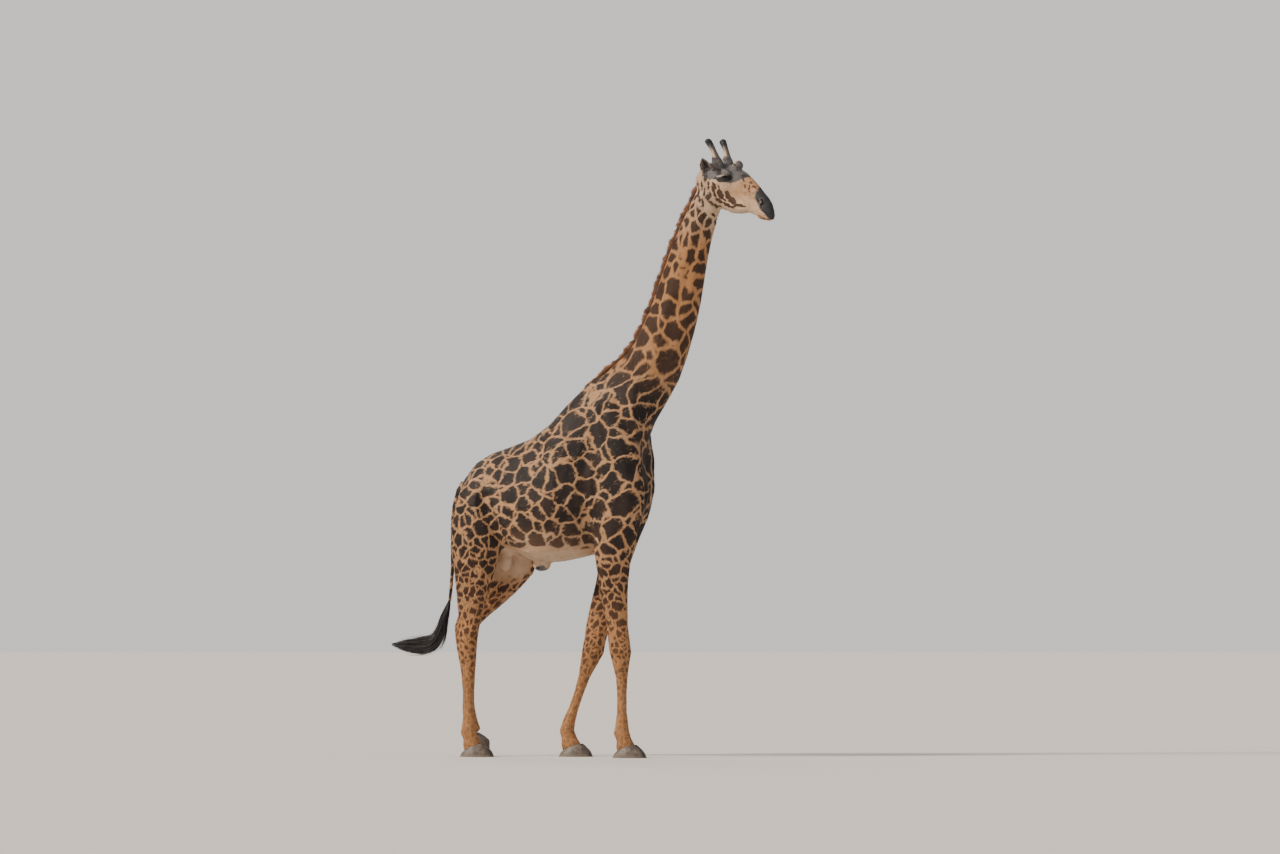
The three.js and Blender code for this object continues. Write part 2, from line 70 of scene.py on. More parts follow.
def bell(value: Array, middle: float, reach: float) -> Array:
    """Returns 1 where the value is at the middle, falling to nothing about twice the reach away."""
    return np.exp(-(((value - middle) / reach) ** 2))


def from_line(line: Array, x: Array, z: Array) -> Array:
    """Returns how far each point is from a line of several stretches."""
    near = np.full(len(x), np.inf)
    for start, end in zip(line[:-1], line[1:]):
        run = end - start
        t = np.clip(((x - start[0]) * run[0] + (z - start[1]) * run[1]) / max(run @ run, 1e-9), 0, 1)
        near = np.minimum(near, np.hypot(x - start[0] - t * run[0], z - start[1] - t * run[1]))
    return near


def unit(vectors: Array) -> Array:
    """Returns the vectors, each made one metre long."""
    return vectors / np.maximum(np.linalg.norm(vectors, axis=-1, keepdims=True), 1e-12)


@dataclass(frozen=True)
class Pose:
    """How the neck and head stand, which carries points between the three frames."""

    turn: float = math.radians(8.0)
    turn_axis_x: float = 0.880
    turn_from: float = 2.900
    turn_to: float = 4.600
    head_at: tuple[float, float, float] = (1.581, 0.0, 4.947)
    pitch: float = math.radians(33.0)
    shift: float = -0.24368

    def angle(self, z: Array) -> Array:
        """Returns how far the neck is turned to its right at each height."""
        return -self.turn * smooth(self.turn_from, self.turn_to, z)

    def straighten(self, points: Array) -> Array:
        """Returns points of the model in the straight frame."""
        angle = -self.angle(points[:, 2])
        x = points[:, 0] - self.shift - self.turn_axis_x
        y = points[:, 1]
        cos, sin = np.cos(angle), np.sin(angle)
        return np.stack([self.turn_axis_x + x * cos - y * sin, x * sin + y * cos, points[:, 2]], 1)

    def place(self, points: Array) -> Array:
        """Returns points of the straight frame in the model."""
        angle = self.angle(points[:, 2])
        x = points[:, 0] - self.turn_axis_x
        y = points[:, 1]
        cos, sin = np.cos(angle), np.sin(angle)
        return np.stack(
            [self.turn_axis_x + x * cos - y * sin + self.shift, x * sin + y * cos, points[:, 2]], 1
        )

    def to_head(self, straight: Array) -> Array:
        """Returns points of the straight frame in the head's own frame."""
        x, y, z = (straight - np.array(self.head_at)).T
        cos, sin = math.cos(self.pitch), math.sin(self.pitch)
        return np.stack([x * cos - z * sin, y, x * sin + z * cos], 1)

    def in_head(self, points: Array) -> Array:
        """Returns points of the model in the head's own frame."""
        return self.to_head(self.straighten(points))

    def from_head(self, local: Array) -> Array:
        """Returns points of the head's own frame in the model."""
        f, y, d = np.atleast_2d(local).T
        cos, sin = math.cos(self.pitch), math.sin(self.pitch)
        straight = np.stack([f * cos + d * sin, y, -f * sin + d * cos], 1) + np.array(self.head_at)
        return self.place(straight)

    def head_way(self, f: float, y: float, d: float) -> Array:
        """Returns a direction of the head's own frame in the model."""
        start, end = self.from_head(np.array([[0.0, 0.0, 0.0], [f, y, d]]))
        return unit(end - start)


POSE = Pose()


# ---------------------------------------------------------------- meshes as arrays


@dataclass
class Surface:
    """A triangle mesh as arrays, for the vertex moves that no operator makes."""

    points: Array
    faces: Array

    @classmethod
    def read(cls, mesh: bpy.types.Mesh) -> "Surface":
        """Returns the points and triangles of a mesh."""
        points = np.empty(len(mesh.vertices) * 3)
        mesh.vertices.foreach_get("co", points)
        mesh.calc_loop_triangles()
        faces = np.empty(len(mesh.loop_triangles) * 3, np.int64)
        mesh.loop_triangles.foreach_get("vertices", faces)
        return cls(points.reshape(-1, 3), faces.reshape(-1, 3))

    def normals(self) -> Array:
        """Returns each point's normal, weighted by the faces round it."""
        corners = self.points[self.faces]
        across = np.cross(corners[:, 1] - corners[:, 0], corners[:, 2] - corners[:, 0])
        total = np.zeros_like(self.points)
        for axis in range(3):
            weights = np.repeat(across[:, axis], 3)
            total[:, axis] = np.bincount(self.faces.ravel(), weights, len(self.points))
        return unit(total)

    def edges(self) -> Array:
        """Returns each edge once, as two point numbers."""
        pairs = np.concatenate([self.faces[:, [0, 1]], self.faces[:, [1, 2]], self.faces[:, [2, 0]]])
        pairs.sort(axis=1)
        keys = np.unique(pairs[:, 0] * len(self.points) + pairs[:, 1])
        return np.stack([keys // len(self.points), keys % len(self.points)], 1)

    def fill_creases(self, rounds: int, weight: Array, keep: float) -> None:
        """Moves points towards their neighbours, mostly outwards, so that sharp joins become fillets.

        Args:
            rounds: how many times each point moves.
            weight: how much of the move each point takes.
            keep: the share of a move that goes inwards, at which bumps wear down.
        """
        edges = self.edges()
        count = len(self.points)
        ends = np.concatenate([edges[:, 0], edges[:, 1]])
        others = np.concatenate([edges[:, 1], edges[:, 0]])
        degree = np.bincount(ends, minlength=count)
        normals = self.normals()
        for turn in range(rounds):
            if turn % 5 == 0:
                normals = self.normals()
            mean = np.stack([np.bincount(ends, self.points[others, k], count) for k in range(3)], 1)
            pull = mean / degree[:, None] - self.points
            outward = (pull * normals).sum(1)
            pull += normals * (np.where(outward > 0, outward, outward * keep) - outward)[:, None]
            self.points += 0.5 * weight[:, None] * pull

    def write(self, mesh: bpy.types.Mesh) -> None:
        """Puts the points back into the mesh that they came from."""
        mesh.vertices.foreach_set("co", self.points.ravel())
        mesh.update()


def set_attribute(mesh: bpy.types.Mesh, name: str, values: Array) -> None:
    """Stores three numbers a point, for the materials to read."""
    attribute = mesh.attributes.new(name, "FLOAT_VECTOR", "POINT")
    attribute.data.foreach_set("vector", np.ascontiguousarray(values, np.float32).ravel())


def link(name: str, mesh: bpy.types.Mesh) -> bpy.types.Object:
    """Returns a new object of the scene that shows the mesh."""
    piece = bpy.data.objects.new(name, mesh)
    bpy.context.scene.collection.objects.link(piece)
    return piece


def enter(piece: bpy.types.Object, finish: bpy.types.Material, slot: str, *replaced: str) -> None:
    """Gives a piece its finish and enters it with the animal's body.

    Args:
        piece: the piece.
        finish: its material.
        slot: the frame's word for what it is made of; not used.
        replaced: the solids that it takes the place of.
    """
    mesh = piece.data
    mesh.materials.clear()
    mesh.materials.append(finish)
    mesh.polygons.foreach_set("use_smooth", np.ones(len(mesh.polygons), bool))
    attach(piece, BODY)
    if replaced:
        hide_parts(*replaced)
    LOG.info("%s: %d faces", piece.name, len(mesh.polygons))


@contextmanager
def editing(mesh: bpy.types.Mesh) -> Iterator[bmesh.types.BMesh]:
    """Opens a mesh for bmesh operators and writes it back afterwards."""
    bm = bmesh.new()
    bm.from_mesh(mesh)
    yield bm
    bm.to_mesh(mesh)
    bm.free()


def divide(bm: bmesh.types.BMesh, edges: list[bmesh.types.BMEdge]) -> None:
    """Cuts edges in half and leaves only triangles round them."""
    bmesh.ops.subdivide_edges(bm, edges=edges, cuts=1, use_grid_fill=True)
    bmesh.ops.triangulate(bm, faces=[face for face in bm.faces if len(face.verts) > 3])


def applied(piece: bpy.types.Object) -> bpy.types.Mesh:
    """Returns the piece's mesh with its modifiers applied, and takes the piece away."""
    graph = bpy.context.evaluated_depsgraph_get()
    mesh = bpy.data.meshes.new_from_object(piece.evaluated_get(graph))
    bpy.data.objects.remove(piece)
    return mesh


def merged_copy(nodes: list[str], grow: float) -> bpy.types.Mesh:
    """Returns one mesh of several solids, each grown a little so that neighbours overlap.

    Args:
        nodes: the solids' names.
        grow: how far each face moves out.
    """
    total = bmesh.new()
    for name in nodes:
        part = bmesh.new()
        part.from_mesh(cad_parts[name].data)
        bmesh.ops.remove_doubles(part, verts=part.verts[:], dist=1e-5)
        bmesh.ops.recalc_face_normals(part, faces=part.faces[:])
        part.normal_update()
        for vert in part.verts:
            vert.co += vert.normal * grow
        mesh = bpy.data.meshes.new(name)
        part.to_mesh(mesh)
        part.free()
        total.from_mesh(mesh)
    merged = bpy.data.meshes.new("merged")
    total.to_mesh(merged)
    total.free()
    return merged


def remeshed(
    nodes: list[str], grow: float, voxel: float, more: bmesh.types.BMesh | None = None
) -> bpy.types.Mesh:
    """Returns one closed mesh over several solids.

    Args:
        nodes: the solids' names.
        grow: how far each face moves out first.
        voxel: the mesh's size.
        more: further shapes to take in.
    """
    source = merged_copy(nodes, grow)
    if more is not None:
        more.from_mesh(source)
        more.to_mesh(source)
        more.free()
    piece = link("remeshing", source)
    modifier = piece.modifiers.new("voxels", "REMESH")
    modifier.mode = "VOXEL"
    modifier.voxel_size = voxel
    return applied(piece)


# ---------------------------------------------------------------- where the limbs run


@dataclass
class Limb:
    """The middle line of a leg, read from its solids level by level."""

    front: bool
    side: float
    heights: Array = field(default_factory=lambda: np.zeros(0))
    middles: Array = field(default_factory=lambda: np.zeros((0, 2)))
    halves: Array = field(default_factory=lambda: np.zeros((0, 2)))

    def names(self) -> list[str]:
        """Returns the names of the leg's two solids."""
        end = ("front_" if self.front else "hind_") + ("left" if self.side > 0 else "right")
        return [
            ("forearm_" if self.front else "thigh_") + end,
            ("foreleg_" if self.front else "hind_shank_") + end,
        ]

    def measure(self) -> "Limb":
        """Reads the leg's middle and half widths at each level, and returns the limb."""
        solids = [Surface.read(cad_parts[name].data) for name in self.names()]
        ends = np.concatenate([POSE.straighten(solid.points)[solid.faces[:, [0, 1]]] for solid in solids])
        rows = []
        for z in np.arange(0.10, 2.0, 0.04):
            low, high = ends[:, 0, 2], ends[:, 1, 2]
            cut = ends[(low - z) * (high - z) < 0]
            if len(cut) > 5:
                share = ((z - cut[:, 0, 2]) / (cut[:, 1, 2] - cut[:, 0, 2]))[:, None]
                ring = cut[:, 0, :2] + share * (cut[:, 1, :2] - cut[:, 0, :2])
                rows.append([z, *(ring.min(0) + ring.max(0)) / 2, *(ring.max(0) - ring.min(0)) / 2])
        table = np.array(rows)
        for _ in range(2):
            table[1:-1, 1:] = (table[:-2, 1:] + 2 * table[1:-1, 1:] + table[2:, 1:]) / 4
        self.heights, self.middles, self.halves = table[:, 0], table[:, 1:3], table[:, 3:5]
        return self

    def at(self, z: Array) -> tuple[Array, Array]:
        """Returns the leg's middle and half widths at each height."""
        middle, half = (
            np.stack([np.interp(z, self.heights, table[:, axis]) for axis in range(2)], 1)
            for table in (self.middles, self.halves)
        )
        return middle, half

    def share(self, points: Array) -> Array:
        """Returns how far each point belongs to this leg, from 0 to 1."""
        middle, half = self.at(points[:, 2])
        away = (np.abs(points[:, :2] - middle) / half).max(1)
        return smooth(2.3, 1.3, away) * smooth(2.20, 1.62, points[:, 2])


LIMBS = [Limb(front, side).measure() for front in (True, False) for side in SIDES]


# ---------------------------------------------------------------- markings


def stations(*pairs: tuple[float, float]) -> tuple[Array, Array]:
    """Returns two rows of numbers, for reading one from the other."""
    table = np.array(pairs)
    return table[:, 0], table[:, 1]


def run_length(grid: Array, cell: Array) -> Array:
    """Returns how many cells lie between the first place of a grid and each place."""
    steps = np.diff(grid) * (1 / cell[1:] + 1 / cell[:-1]) / 2
    return np.concatenate([[0.0], np.cumsum(steps)])


MOUTH = np.array([(0.368, -0.095), (0.410, -0.082), (0.452, -0.070), (0.500, -0.070), (0.545, -0.078)])
NOSTRIL = np.array([(0.386, 0.036), (0.398, 0.036), (0.408, 0.026), (0.411, 0.010), (0.404, -0.004)])


@dataclass(frozen=True)
class EarPlan:
    """Where the ears stand and which way their hollows face, in the head's frame."""

    root: tuple[float, float, float] = (-0.120, 0.086, -0.050)
    tip: tuple[float, float, float] = (-0.222, 0.192, 0.052)
    hollow: tuple[float, float, float] = (0.35, 0.75, -0.30)
    half_width: float = 0.046

    def axes(self, side: float) -> tuple[Array, Array, float]:
        """Returns one ear's root, its directions along, across and out of the hollow, and its length."""
        root, tip, hollow = (np.array(place) * (1, side, 1) for place in (self.root, self.tip, self.hollow))
        run = unit(tip - root)
        hollow = unit(hollow - run * (hollow @ run))
        return root, np.stack([run, np.cross(run, hollow), hollow]), float(np.linalg.norm(tip - root))


EAR = EarPlan()


@dataclass(frozen=True)
class HornPlan:
    """Where the horns rise and end, in the head's frame."""

    foot: tuple[float, float, float] = (-0.141, 0.100, 0.096)
    tip: tuple[float, float, float] = (-0.287, 0.133, 0.199)

    def axis(self, side: float) -> tuple[Array, Array]:
        """Returns one horn's foot and the direction that it rises in."""
        foot, tip = (np.array(place) * (1, side, 1) for place in (self.foot, self.tip))
        return foot, unit(tip - foot)


HORN = HornPlan()


@dataclass(frozen=True)
class Patch:
    """One dark patch of the head, in the head's frame: its middle, its half sizes and its lean in degrees."""

    f: float
    d: float
    half_length: float
    half_width: float
    lean: float

    def inside(self, f: Array, d: Array) -> Array:
        """Returns how far inside the patch each point is; it is negative outside."""
        cos, sin = math.cos(math.radians(self.lean)), math.sin(math.radians(self.lean))
        along = np.abs((f - self.f) * cos + (d - self.d) * sin) / self.half_length
        across = np.abs((d - self.d) * cos - (f - self.f) * sin) / self.half_width
        return (1.16 - (along**2.6 + across**2.6) ** (1 / 2.6)) * self.half_width


@dataclass
class Marks:
    """What the coat's materials read at each point, all as shares unless it says otherwise.

    The gap is how far the ground colour reaches from the border of two patches, in cells, and soft is how far
    its edge fades. Spurs are the thin gaps that run into a patch. Own is how far the head's own patches hold
    instead of the pattern of cells.
    """

    gap: Array
    warm: Array
    pale: Array
    fade: Array
    soft: Array
    spur: Array
    rust: Array
    grey: Array
    # dark: the muzzle's own colour, and painted shade round the eyes and in the ears' hollows.
    dark: Array
    own: Array
    muzzle: Array

    def rows(self, spots: Array) -> tuple[Array, ...]:
        """Returns the shares in threes, as the pieces store them."""
        return (
            np.stack([self.gap, self.warm, self.pale], 1),
            np.stack([self.fade, self.grey, self.dark], 1),
            np.stack([self.soft, self.spur, self.rust], 1),
            np.stack([spots, self.own, self.muzzle], 1),
        )


@dataclass(frozen=True)
class Markings:
    """Where the patches of the coat lie, how large they are, and which colours hold where."""

    trunk_cell: tuple[Array, Array] = stations(
        (-1.0, 0.092), (-0.7, 0.100), (-0.35, 0.122), (0.0, 0.142), (0.5, 0.172), (1.1, 0.180)
    )
    neck_cell: tuple[Array, Array] = stations(
        (2.9, 0.178), (3.3, 0.165), (3.8, 0.128), (4.4, 0.098), (4.8, 0.075)
    )
    neck_middle: tuple[Array, Array] = stations(
        (2.9, 0.68), (3.38, 0.873), (3.63, 0.99), (4.0, 1.11), (4.25, 1.183), (4.66, 1.338), (4.9, 1.43)
    )
    fore_cell: tuple[Array, Array] = stations(
        (0.0, 0.042), (0.5, 0.045), (1.0, 0.056), (1.5, 0.082), (1.95, 0.135)
    )
    hind_cell: tuple[Array, Array] = stations(
        (0.0, 0.042), (0.5, 0.045), (1.05, 0.052), (1.5, 0.068), (1.95, 0.094)
    )
    neck_lean: float = math.radians(20.0)
    neck_root: tuple[float, float, float] = (0.62, 0.0, 3.15)
    head_join: tuple[float, float, float] = (1.43, 0.0, 4.92)
    head_cell: float = 0.042
    stretch: float = 1.25
    crown_edge: tuple[Array, Array] = stations(
        (-0.24, -0.10), (-0.16, -0.09), (-0.05, -0.035), (0.04, -0.01), (0.10, 0.03),
        (0.135, 0.09), (0.19, 0.16),
    )
    muzzle_edge: tuple[Array, Array] = stations(
        (-0.12, 0.56), (-0.07, 0.53), (-0.05, 0.485), (-0.04, 0.425), (0.003, 0.352), (0.031, 0.318),
        (0.066, 0.298), (0.12, 0.295),
    )
    patches: tuple[Patch, ...] = tuple(
        Patch(*row)
        for row in (
            (-0.088, -0.118, 0.030, 0.010, -60), (-0.036, -0.091, 0.032, 0.012, -28),
            (-0.150, -0.160, 0.034, 0.010, -60), (-0.102, -0.192, 0.032, 0.010, -60),
            (-0.046, -0.200, 0.036, 0.021, 85), (-0.018, -0.138, 0.046, 0.013, -42),
            (0.045, -0.127, 0.038, 0.023, -35), (0.100, -0.098, 0.034, 0.019, -50),
            (0.159, -0.117, 0.033, 0.025, 0), (0.055, -0.182, 0.034, 0.015, 0),
            (0.235, -0.118, 0.036, 0.012, 27), (0.134, -0.176, 0.031, 0.014, 8),
            (0.186, -0.168, 0.018, 0.009, 20), (0.014, -0.238, 0.052, 0.013, -5),
            (-0.066, -0.275, 0.034, 0.009, -50), (0.090, -0.240, 0.030, 0.016, -20),
            (0.195, 0.047, 0.015, 0.009, -30), (0.229, 0.057, 0.019, 0.009, -60),
            (0.140, 0.085, 0.024, 0.007, -15), (-0.140, -0.095, 0.018, 0.014, -30),
            (0.262, 0.088, 0.020, 0.012, 10), (-0.196, -0.175, 0.030, 0.009, -62),
            (-0.150, -0.235, 0.034, 0.011, -58), (0.005, -0.080, 0.016, 0.008, -40),
            (0.098, -0.150, 0.016, 0.009, -20), (-0.106, -0.265, 0.022, 0.008, -50),
            (0.200, -0.145, 0.014, 0.007, 24), (0.282, -0.100, 0.014, 0.006, 20),
            (0.255, 0.030, 0.010, 0.006, 0), (0.215, 0.100, 0.014, 0.008, 0),
        )
    )

    def trunk_map(self, p: Array) -> Array:
        """Returns the pattern places that hold on the trunk."""
        grid = np.linspace(-1.3, 1.8, 400)
        cell = np.interp(grid, *self.trunk_cell)
        size = np.interp(p[:, 0], *self.trunk_cell)
        along = np.interp(p[:, 0], grid, run_length(grid, cell))
        return np.stack([along, p[:, 1] / size, (p[:, 2] - 2.2) / size], 1)

    def neck_map(self, p: Array) -> Array:
        """Returns the pattern places that hold on the neck, where the patches are drawn out along it."""
        cos, sin = math.cos(self.neck_lean), math.sin(self.neck_lean)
        grid = np.linspace(2.7, 5.3, 400)
        cell = np.interp(grid, *self.neck_cell)
        longer = 1 + (self.stretch - 1) * smooth(3.1, 3.5, grid)
        count = run_length(grid, cell * longer)
        aside = (p[:, 0] - np.interp(p[:, 2], *self.neck_middle)) * cos
        level = p[:, 2] + aside * sin
        size = np.interp(level, *self.neck_cell)
        zero = np.interp(self.neck_root[2], grid, count)
        s = (np.interp(level, grid, count) - zero) / cos
        n = aside / size
        root = self.trunk_map(np.array([self.neck_root]))[0]
        return root + np.stack([s * sin + n * cos, p[:, 1] / size, s * cos - n * sin], 1)

    def head_map(self, p: Array) -> Array:
        """Returns the pattern places that hold on the head."""
        root = self.neck_map(np.array([self.head_join]))[0]
        away = (p - np.array(self.head_join)) / self.head_cell
        cos, sin = math.cos(math.radians(16)), math.sin(math.radians(16))
        up = away[:, 0] * sin + away[:, 2] * cos
        across = away[:, 0] * cos - away[:, 2] * sin
        up = up / 1.75
        return root + np.stack([across * cos + up * sin, away[:, 1], up * cos - across * sin], 1)

    def spots(self, local: Array) -> Array:
        """Returns how far inside a patch of the head each point is, where one is 20 mm; the sides differ."""
        f, y, d = local.T
        turned = smooth(0.0, 0.03, y)
        f = f + turned * (0.010 + 0.010 * np.sin(d * 31)) + 0.003 * np.sin(d * 170 + f * 60)
        d = d + turned * (0.006 * np.sin(f * 27)) + 0.003 * np.sin(f * 150 - d * 50)
        best = np.max([patch.inside(f, d) for patch in self.patches], axis=0)
        return (
            np.clip(best / 0.02, -1, 1) * smooth(0.02, 0.035, np.abs(y))
            - 0.5 * smooth(0.035, 0.02, np.abs(y))
        )

    def limb_map(self, limb: Limb, p: Array) -> Array:
        """Returns the pattern places that hold on one leg."""
        table = self.fore_cell if limb.front else self.hind_cell
        grid = np.linspace(-0.1, 2.4, 300)
        cell = np.interp(grid, *table)
        top = 1.95
        middle, _ = limb.at(p[:, 2])
        start, _ = limb.at(np.array([top]))
        root = self.trunk_map(np.array([[*start[0], top]]))[0]
        size = np.interp(p[:, 2], *table)
        count = run_length(grid, cell)
        down = np.interp(p[:, 2], grid, count) - np.interp(top, grid, count)
        return root + np.stack([(p[:, 0] - middle[:, 0]) / size, (p[:, 1] - middle[:, 1]) / size, down], 1)

    def shares(self, p: Array) -> tuple[Array, Array, list[Array]]:
        """Returns how far each point belongs to the neck, to the head and to each leg."""
        root = p - np.array(self.neck_root)
        neck = smooth(
            -0.05, 0.28, root[:, 0] * math.sin(self.neck_lean) + root[:, 2] * math.cos(self.neck_lean)
        )
        join = p - np.array(self.head_join)
        head = smooth(-0.06, 0.05, join[:, 0] * 0.88 + join[:, 2] * 0.474) * (p[:, 2] > 4.4)
        return neck, head, [limb.share(p) for limb in LIMBS]

    def pattern(self, p: Array) -> Array:
        """Returns each point's place in the pattern, in cells."""
        neck, head, limbs = self.shares(p)
        total = self.trunk_map(p)
        total += neck[:, None] * (self.neck_map(p) - total)
        total += head[:, None] * (self.head_map(p) - total)
        for limb, share in zip(LIMBS, limbs):
            total += share[:, None] * (self.limb_map(limb, p) - total)
        return total

    def masks(self, p: Array, local: Array, normals: Array) -> tuple[Array, ...]:
        """Returns the shares that the coat's materials read.

        Args:
            p: the points in the straight frame.
            local: the same points in the head's own frame.
            normals: which way the skin faces at each point, in the model.
        """
        marks = self.body_marks(p, local)
        _, head, _ = self.shares(p)
        self.mark_head(marks, head, local)
        self.mark_ears(marks, head, local, normals)
        return marks.rows(self.spots(local))

    def body_marks(self, p: Array, local: Array) -> Marks:
        """Returns the marks of the trunk, neck and legs: a pale bare belly, a cream nape and paler shanks."""
        x, y, z = p.T
        neck, head, limbs = self.shares(p)
        limb = np.clip(sum(limbs), 0, 1)
        body = 1 - np.maximum(neck, limb)
        cell = np.interp(x, *self.trunk_cell)

        under = smooth(-0.62, -0.45, x) * smooth(0.62, 0.45, x) * (1 - limb)
        belly = smooth(1.84, 1.73, z - 0.05 * smooth(0.30, 0.10, np.abs(y))) * under
        groin = smooth(2.02, 1.88, z) * smooth(1.45, 1.65, z) * smooth(0.17, 0.10, np.abs(y))
        groin *= smooth(-0.2, -0.4, x) * smooth(-0.80, -0.70, x)
        bare = np.maximum(belly, groin)
        low_side = smooth(2.02, 1.80, z) * smooth(-0.60, -0.40, x) * smooth(0.60, 0.45, x) * (1 - limb)
        sheath = np.hypot(x + 0.16, z - 1.585) + 0.4 * np.clip(np.abs(y) - 0.03, 0, None)
        behind = (p - np.array(self.head_join)) @ (0.88, 0.0, 0.474)
        nape = smooth(-0.30, -0.12, behind) * (z > 4.4) * (1 - head)

        upper_neck = smooth(3.2, 3.8, z) * smooth(4.9, 4.4, z)
        gap = body * (0.0080 / cell) + neck * (0.055 + 0.060 * smooth(3.2, 4.2, z))
        gap += limb * (0.070 + 0.05 * smooth(1.7, 1.0, z)) + 0.55 * bare
        warm = body * 0.35 + neck * (0.55 + 0.3 * upper_neck) + limb * (0.55 + 0.35 * smooth(1.6, 0.9, z))
        fade = np.maximum(limb * (0.15 * smooth(1.5, 1.0, z) + 0.5 * smooth(0.95, 0.45, z)), bare * 0.5)
        return Marks(
            gap=gap,
            warm=warm,
            pale=np.maximum.reduce(
                [0.9 * bare, 0.6 * low_side, 0.60 * smooth(4.30, 4.8, z) * (1 - head), 0.85 * nape]
            ),
            fade=np.maximum.reduce([fade, 0.06 * neck, 0.12 * low_side]),
            soft=0.022 + 0.018 * neck + 0.05 * limb * smooth(1.2, 0.6, z),
            spur=body + neck * 0.55 + limb * 0.4 * smooth(1.0, 1.6, z),
            rust=0.30 * limb * smooth(2.0, 1.3, z) + 0.10 * neck + 0.35 * low_side,
            grey=0.85 * smooth(0.085, 0.045, sheath) * (1 - limb),
            dark=np.zeros_like(x),
            own=smooth(-0.19, -0.11, behind) * smooth(-0.33, -0.26, local[:, 2]) * (z > 4.4),
            muzzle=np.zeros_like(x),
        )

    def mark_head(self, marks: Marks, head: Array, local: Array) -> None:
        """Marks the face: a grey crown, painted shade round each eye under a painted lid highlight, an orange
        nose, a dark muzzle.
        """
        f, side, d = local[:, 0], np.abs(local[:, 1]), local[:, 2]
        crown = head * smooth(-0.018, 0.012, d - np.interp(f, *self.crown_edge)) * smooth(0.22, 0.16, f)
        boss = head * smooth(0.142, 0.155, d) * smooth(0.012, -0.012, f) * smooth(-0.10, -0.06, f)
        past_muzzle = f - np.interp(d, *self.muzzle_edge)
        muzzle = head * smooth(-0.035, 0.030, past_muzzle)
        verge = head * smooth(-0.075, -0.01, past_muzzle)

        along = (f - 0.011) * 0.72 + (d - 0.009) * 0.69
        above = (d - 0.009) * 0.72 - (f - 0.011) * 0.69
        beside = head * (side > 0.05)
        # Painted shade round each eye, where the brow and lashes shade it, and a painted highlight along the
        # upper lid where light falls.
        socket = beside * smooth(1.25, 0.70, np.hypot(along / 0.078, (above + 0.003) / 0.028))
        painted_lid_highlight = beside * bell(above, 0.031, 0.006) * smooth(-0.085, -0.06, along) * smooth(
            0.03, 0.0, along
        )
        flare = head * bell(from_line(NOSTRIL, f, d), 0.0135, 0.0045) * smooth(0.408, 0.392, f) * (
            side > 0.02
        )

        nose = head * smooth(0.10, 0.17, f) * smooth(-0.06, 0.02, d)
        jowl = head * bell(f, 0.16, 0.05) * bell(d, -0.04, 0.03)
        lip = head * smooth(0.38, 0.43, f) * smooth(-0.070, -0.080, d)
        cheek = head * smooth(0.0, 0.06, f) * smooth(0.35, 0.25, f) * smooth(-0.13, -0.06, d)
        nape = head * smooth(-0.10, -0.16, f)
        cream = 0.92 - 0.30 * cheek - 0.50 * nose - 0.7 * lip - 0.4 * jowl + 0.2 * nape

        body = 1 - head
        marks.gap = marks.gap * body + head * (
            0.125 + 0.13 * cheek + 0.30 * np.maximum(nose, smooth(0.26, 0.36, f))
        )
        marks.gap += 0.35 * nape
        marks.pale = marks.pale * body + head * np.clip(cream, 0, 1)
        marks.pale = np.maximum(marks.pale, 0.9 * np.maximum(painted_lid_highlight, boss))
        marks.warm = marks.warm * body + head * np.clip(0.30 + 0.10 * nose + 0.5 * lip + 0.4 * jowl, 0, 1)
        marks.fade = marks.fade * body + head * (0.03 + 0.08 * cheek)
        marks.spur = marks.spur * body
        marks.soft = marks.soft * body + head * 0.06
        marks.rust = np.maximum.reduce(
            [marks.rust * body + head * 0.30, 0.6 * lip, 0.75 * nose, 0.95 * verge]
        )
        marks.grey = np.maximum.reduce([marks.grey, crown * (1 - 0.75 * painted_lid_highlight) * (1 - 0.8 * boss), flare])
        # The dark share is the muzzle's own colour, and the painted shade of the sockets.
        marks.dark = np.maximum(muzzle * (1 - lip), 0.9 * socket) * (1 - painted_lid_highlight) * (1 - 0.8 * flare)
        marks.muzzle = muzzle

    def mark_ears(self, marks: Marks, head: Array, local: Array, normals: Array) -> None:
        """Marks the ears: pale outside and along the rim, with a grey hollow that has painted shade at its
        rear.
        """
        f, side, d = local[:, 0], np.abs(local[:, 1]), local[:, 2]
        collar = np.sqrt((f + 0.141) ** 2 + (side - 0.100) ** 2 + 0.5 * (d - 0.085) ** 2)
        ear = head * smooth(0.102, 0.116, side) * smooth(-0.08, -0.11, f) * smooth(0.055, 0.066, collar)
        hollow = smooth(0.05, 0.40, self.into_ear(local, normals)) * ear
        marks.grey = marks.grey * (1 - ear) + 0.75 * hollow
        # Painted shade: the rear of each hollow is darkened towards black.
        marks.dark = marks.dark * (1 - ear) + 0.9 * hollow * smooth(-0.128, -0.165, f) * smooth(
            0.190, 0.170, side
        )
        marks.pale = marks.pale * (1 - ear) + 0.85 * ear
        marks.gap = marks.gap + 0.4 * ear

    @staticmethod
    def into_ear(local: Array, normals: Array) -> Array:
        """Returns how far each point's normal turns towards the hollow side of its ear."""
        total = np.zeros(len(local))
        for side in SIDES:
            way = POSE.head_way(0.40, 0.86 * side, -0.32)
            total += (normals @ way) * (local[:, 1] * side > 0)
        return total

    def dress(self, mesh: bpy.types.Mesh, at: Array, normals: Array, spread: int = 1) -> None:
        """Stores the markings of a piece, one place for each point or for each group of points.

        Args:
            mesh: the piece's mesh.
            at: the places on the model that the markings are read at.
            normals: which way the skin faces at those places.
            spread: how many points of the mesh share each place.
        """
        straight = POSE.straighten(at)
        values = [self.pattern(straight), *self.masks(straight, POSE.to_head(straight), normals)]
        for name, value in zip(("pat", "mk", "mk2", "mk3", "mk4"), values):
            set_attribute(mesh, name, np.repeat(value, spread, axis=0))


MARKINGS = Markings()


# ---------------------------------------------------------------- materials


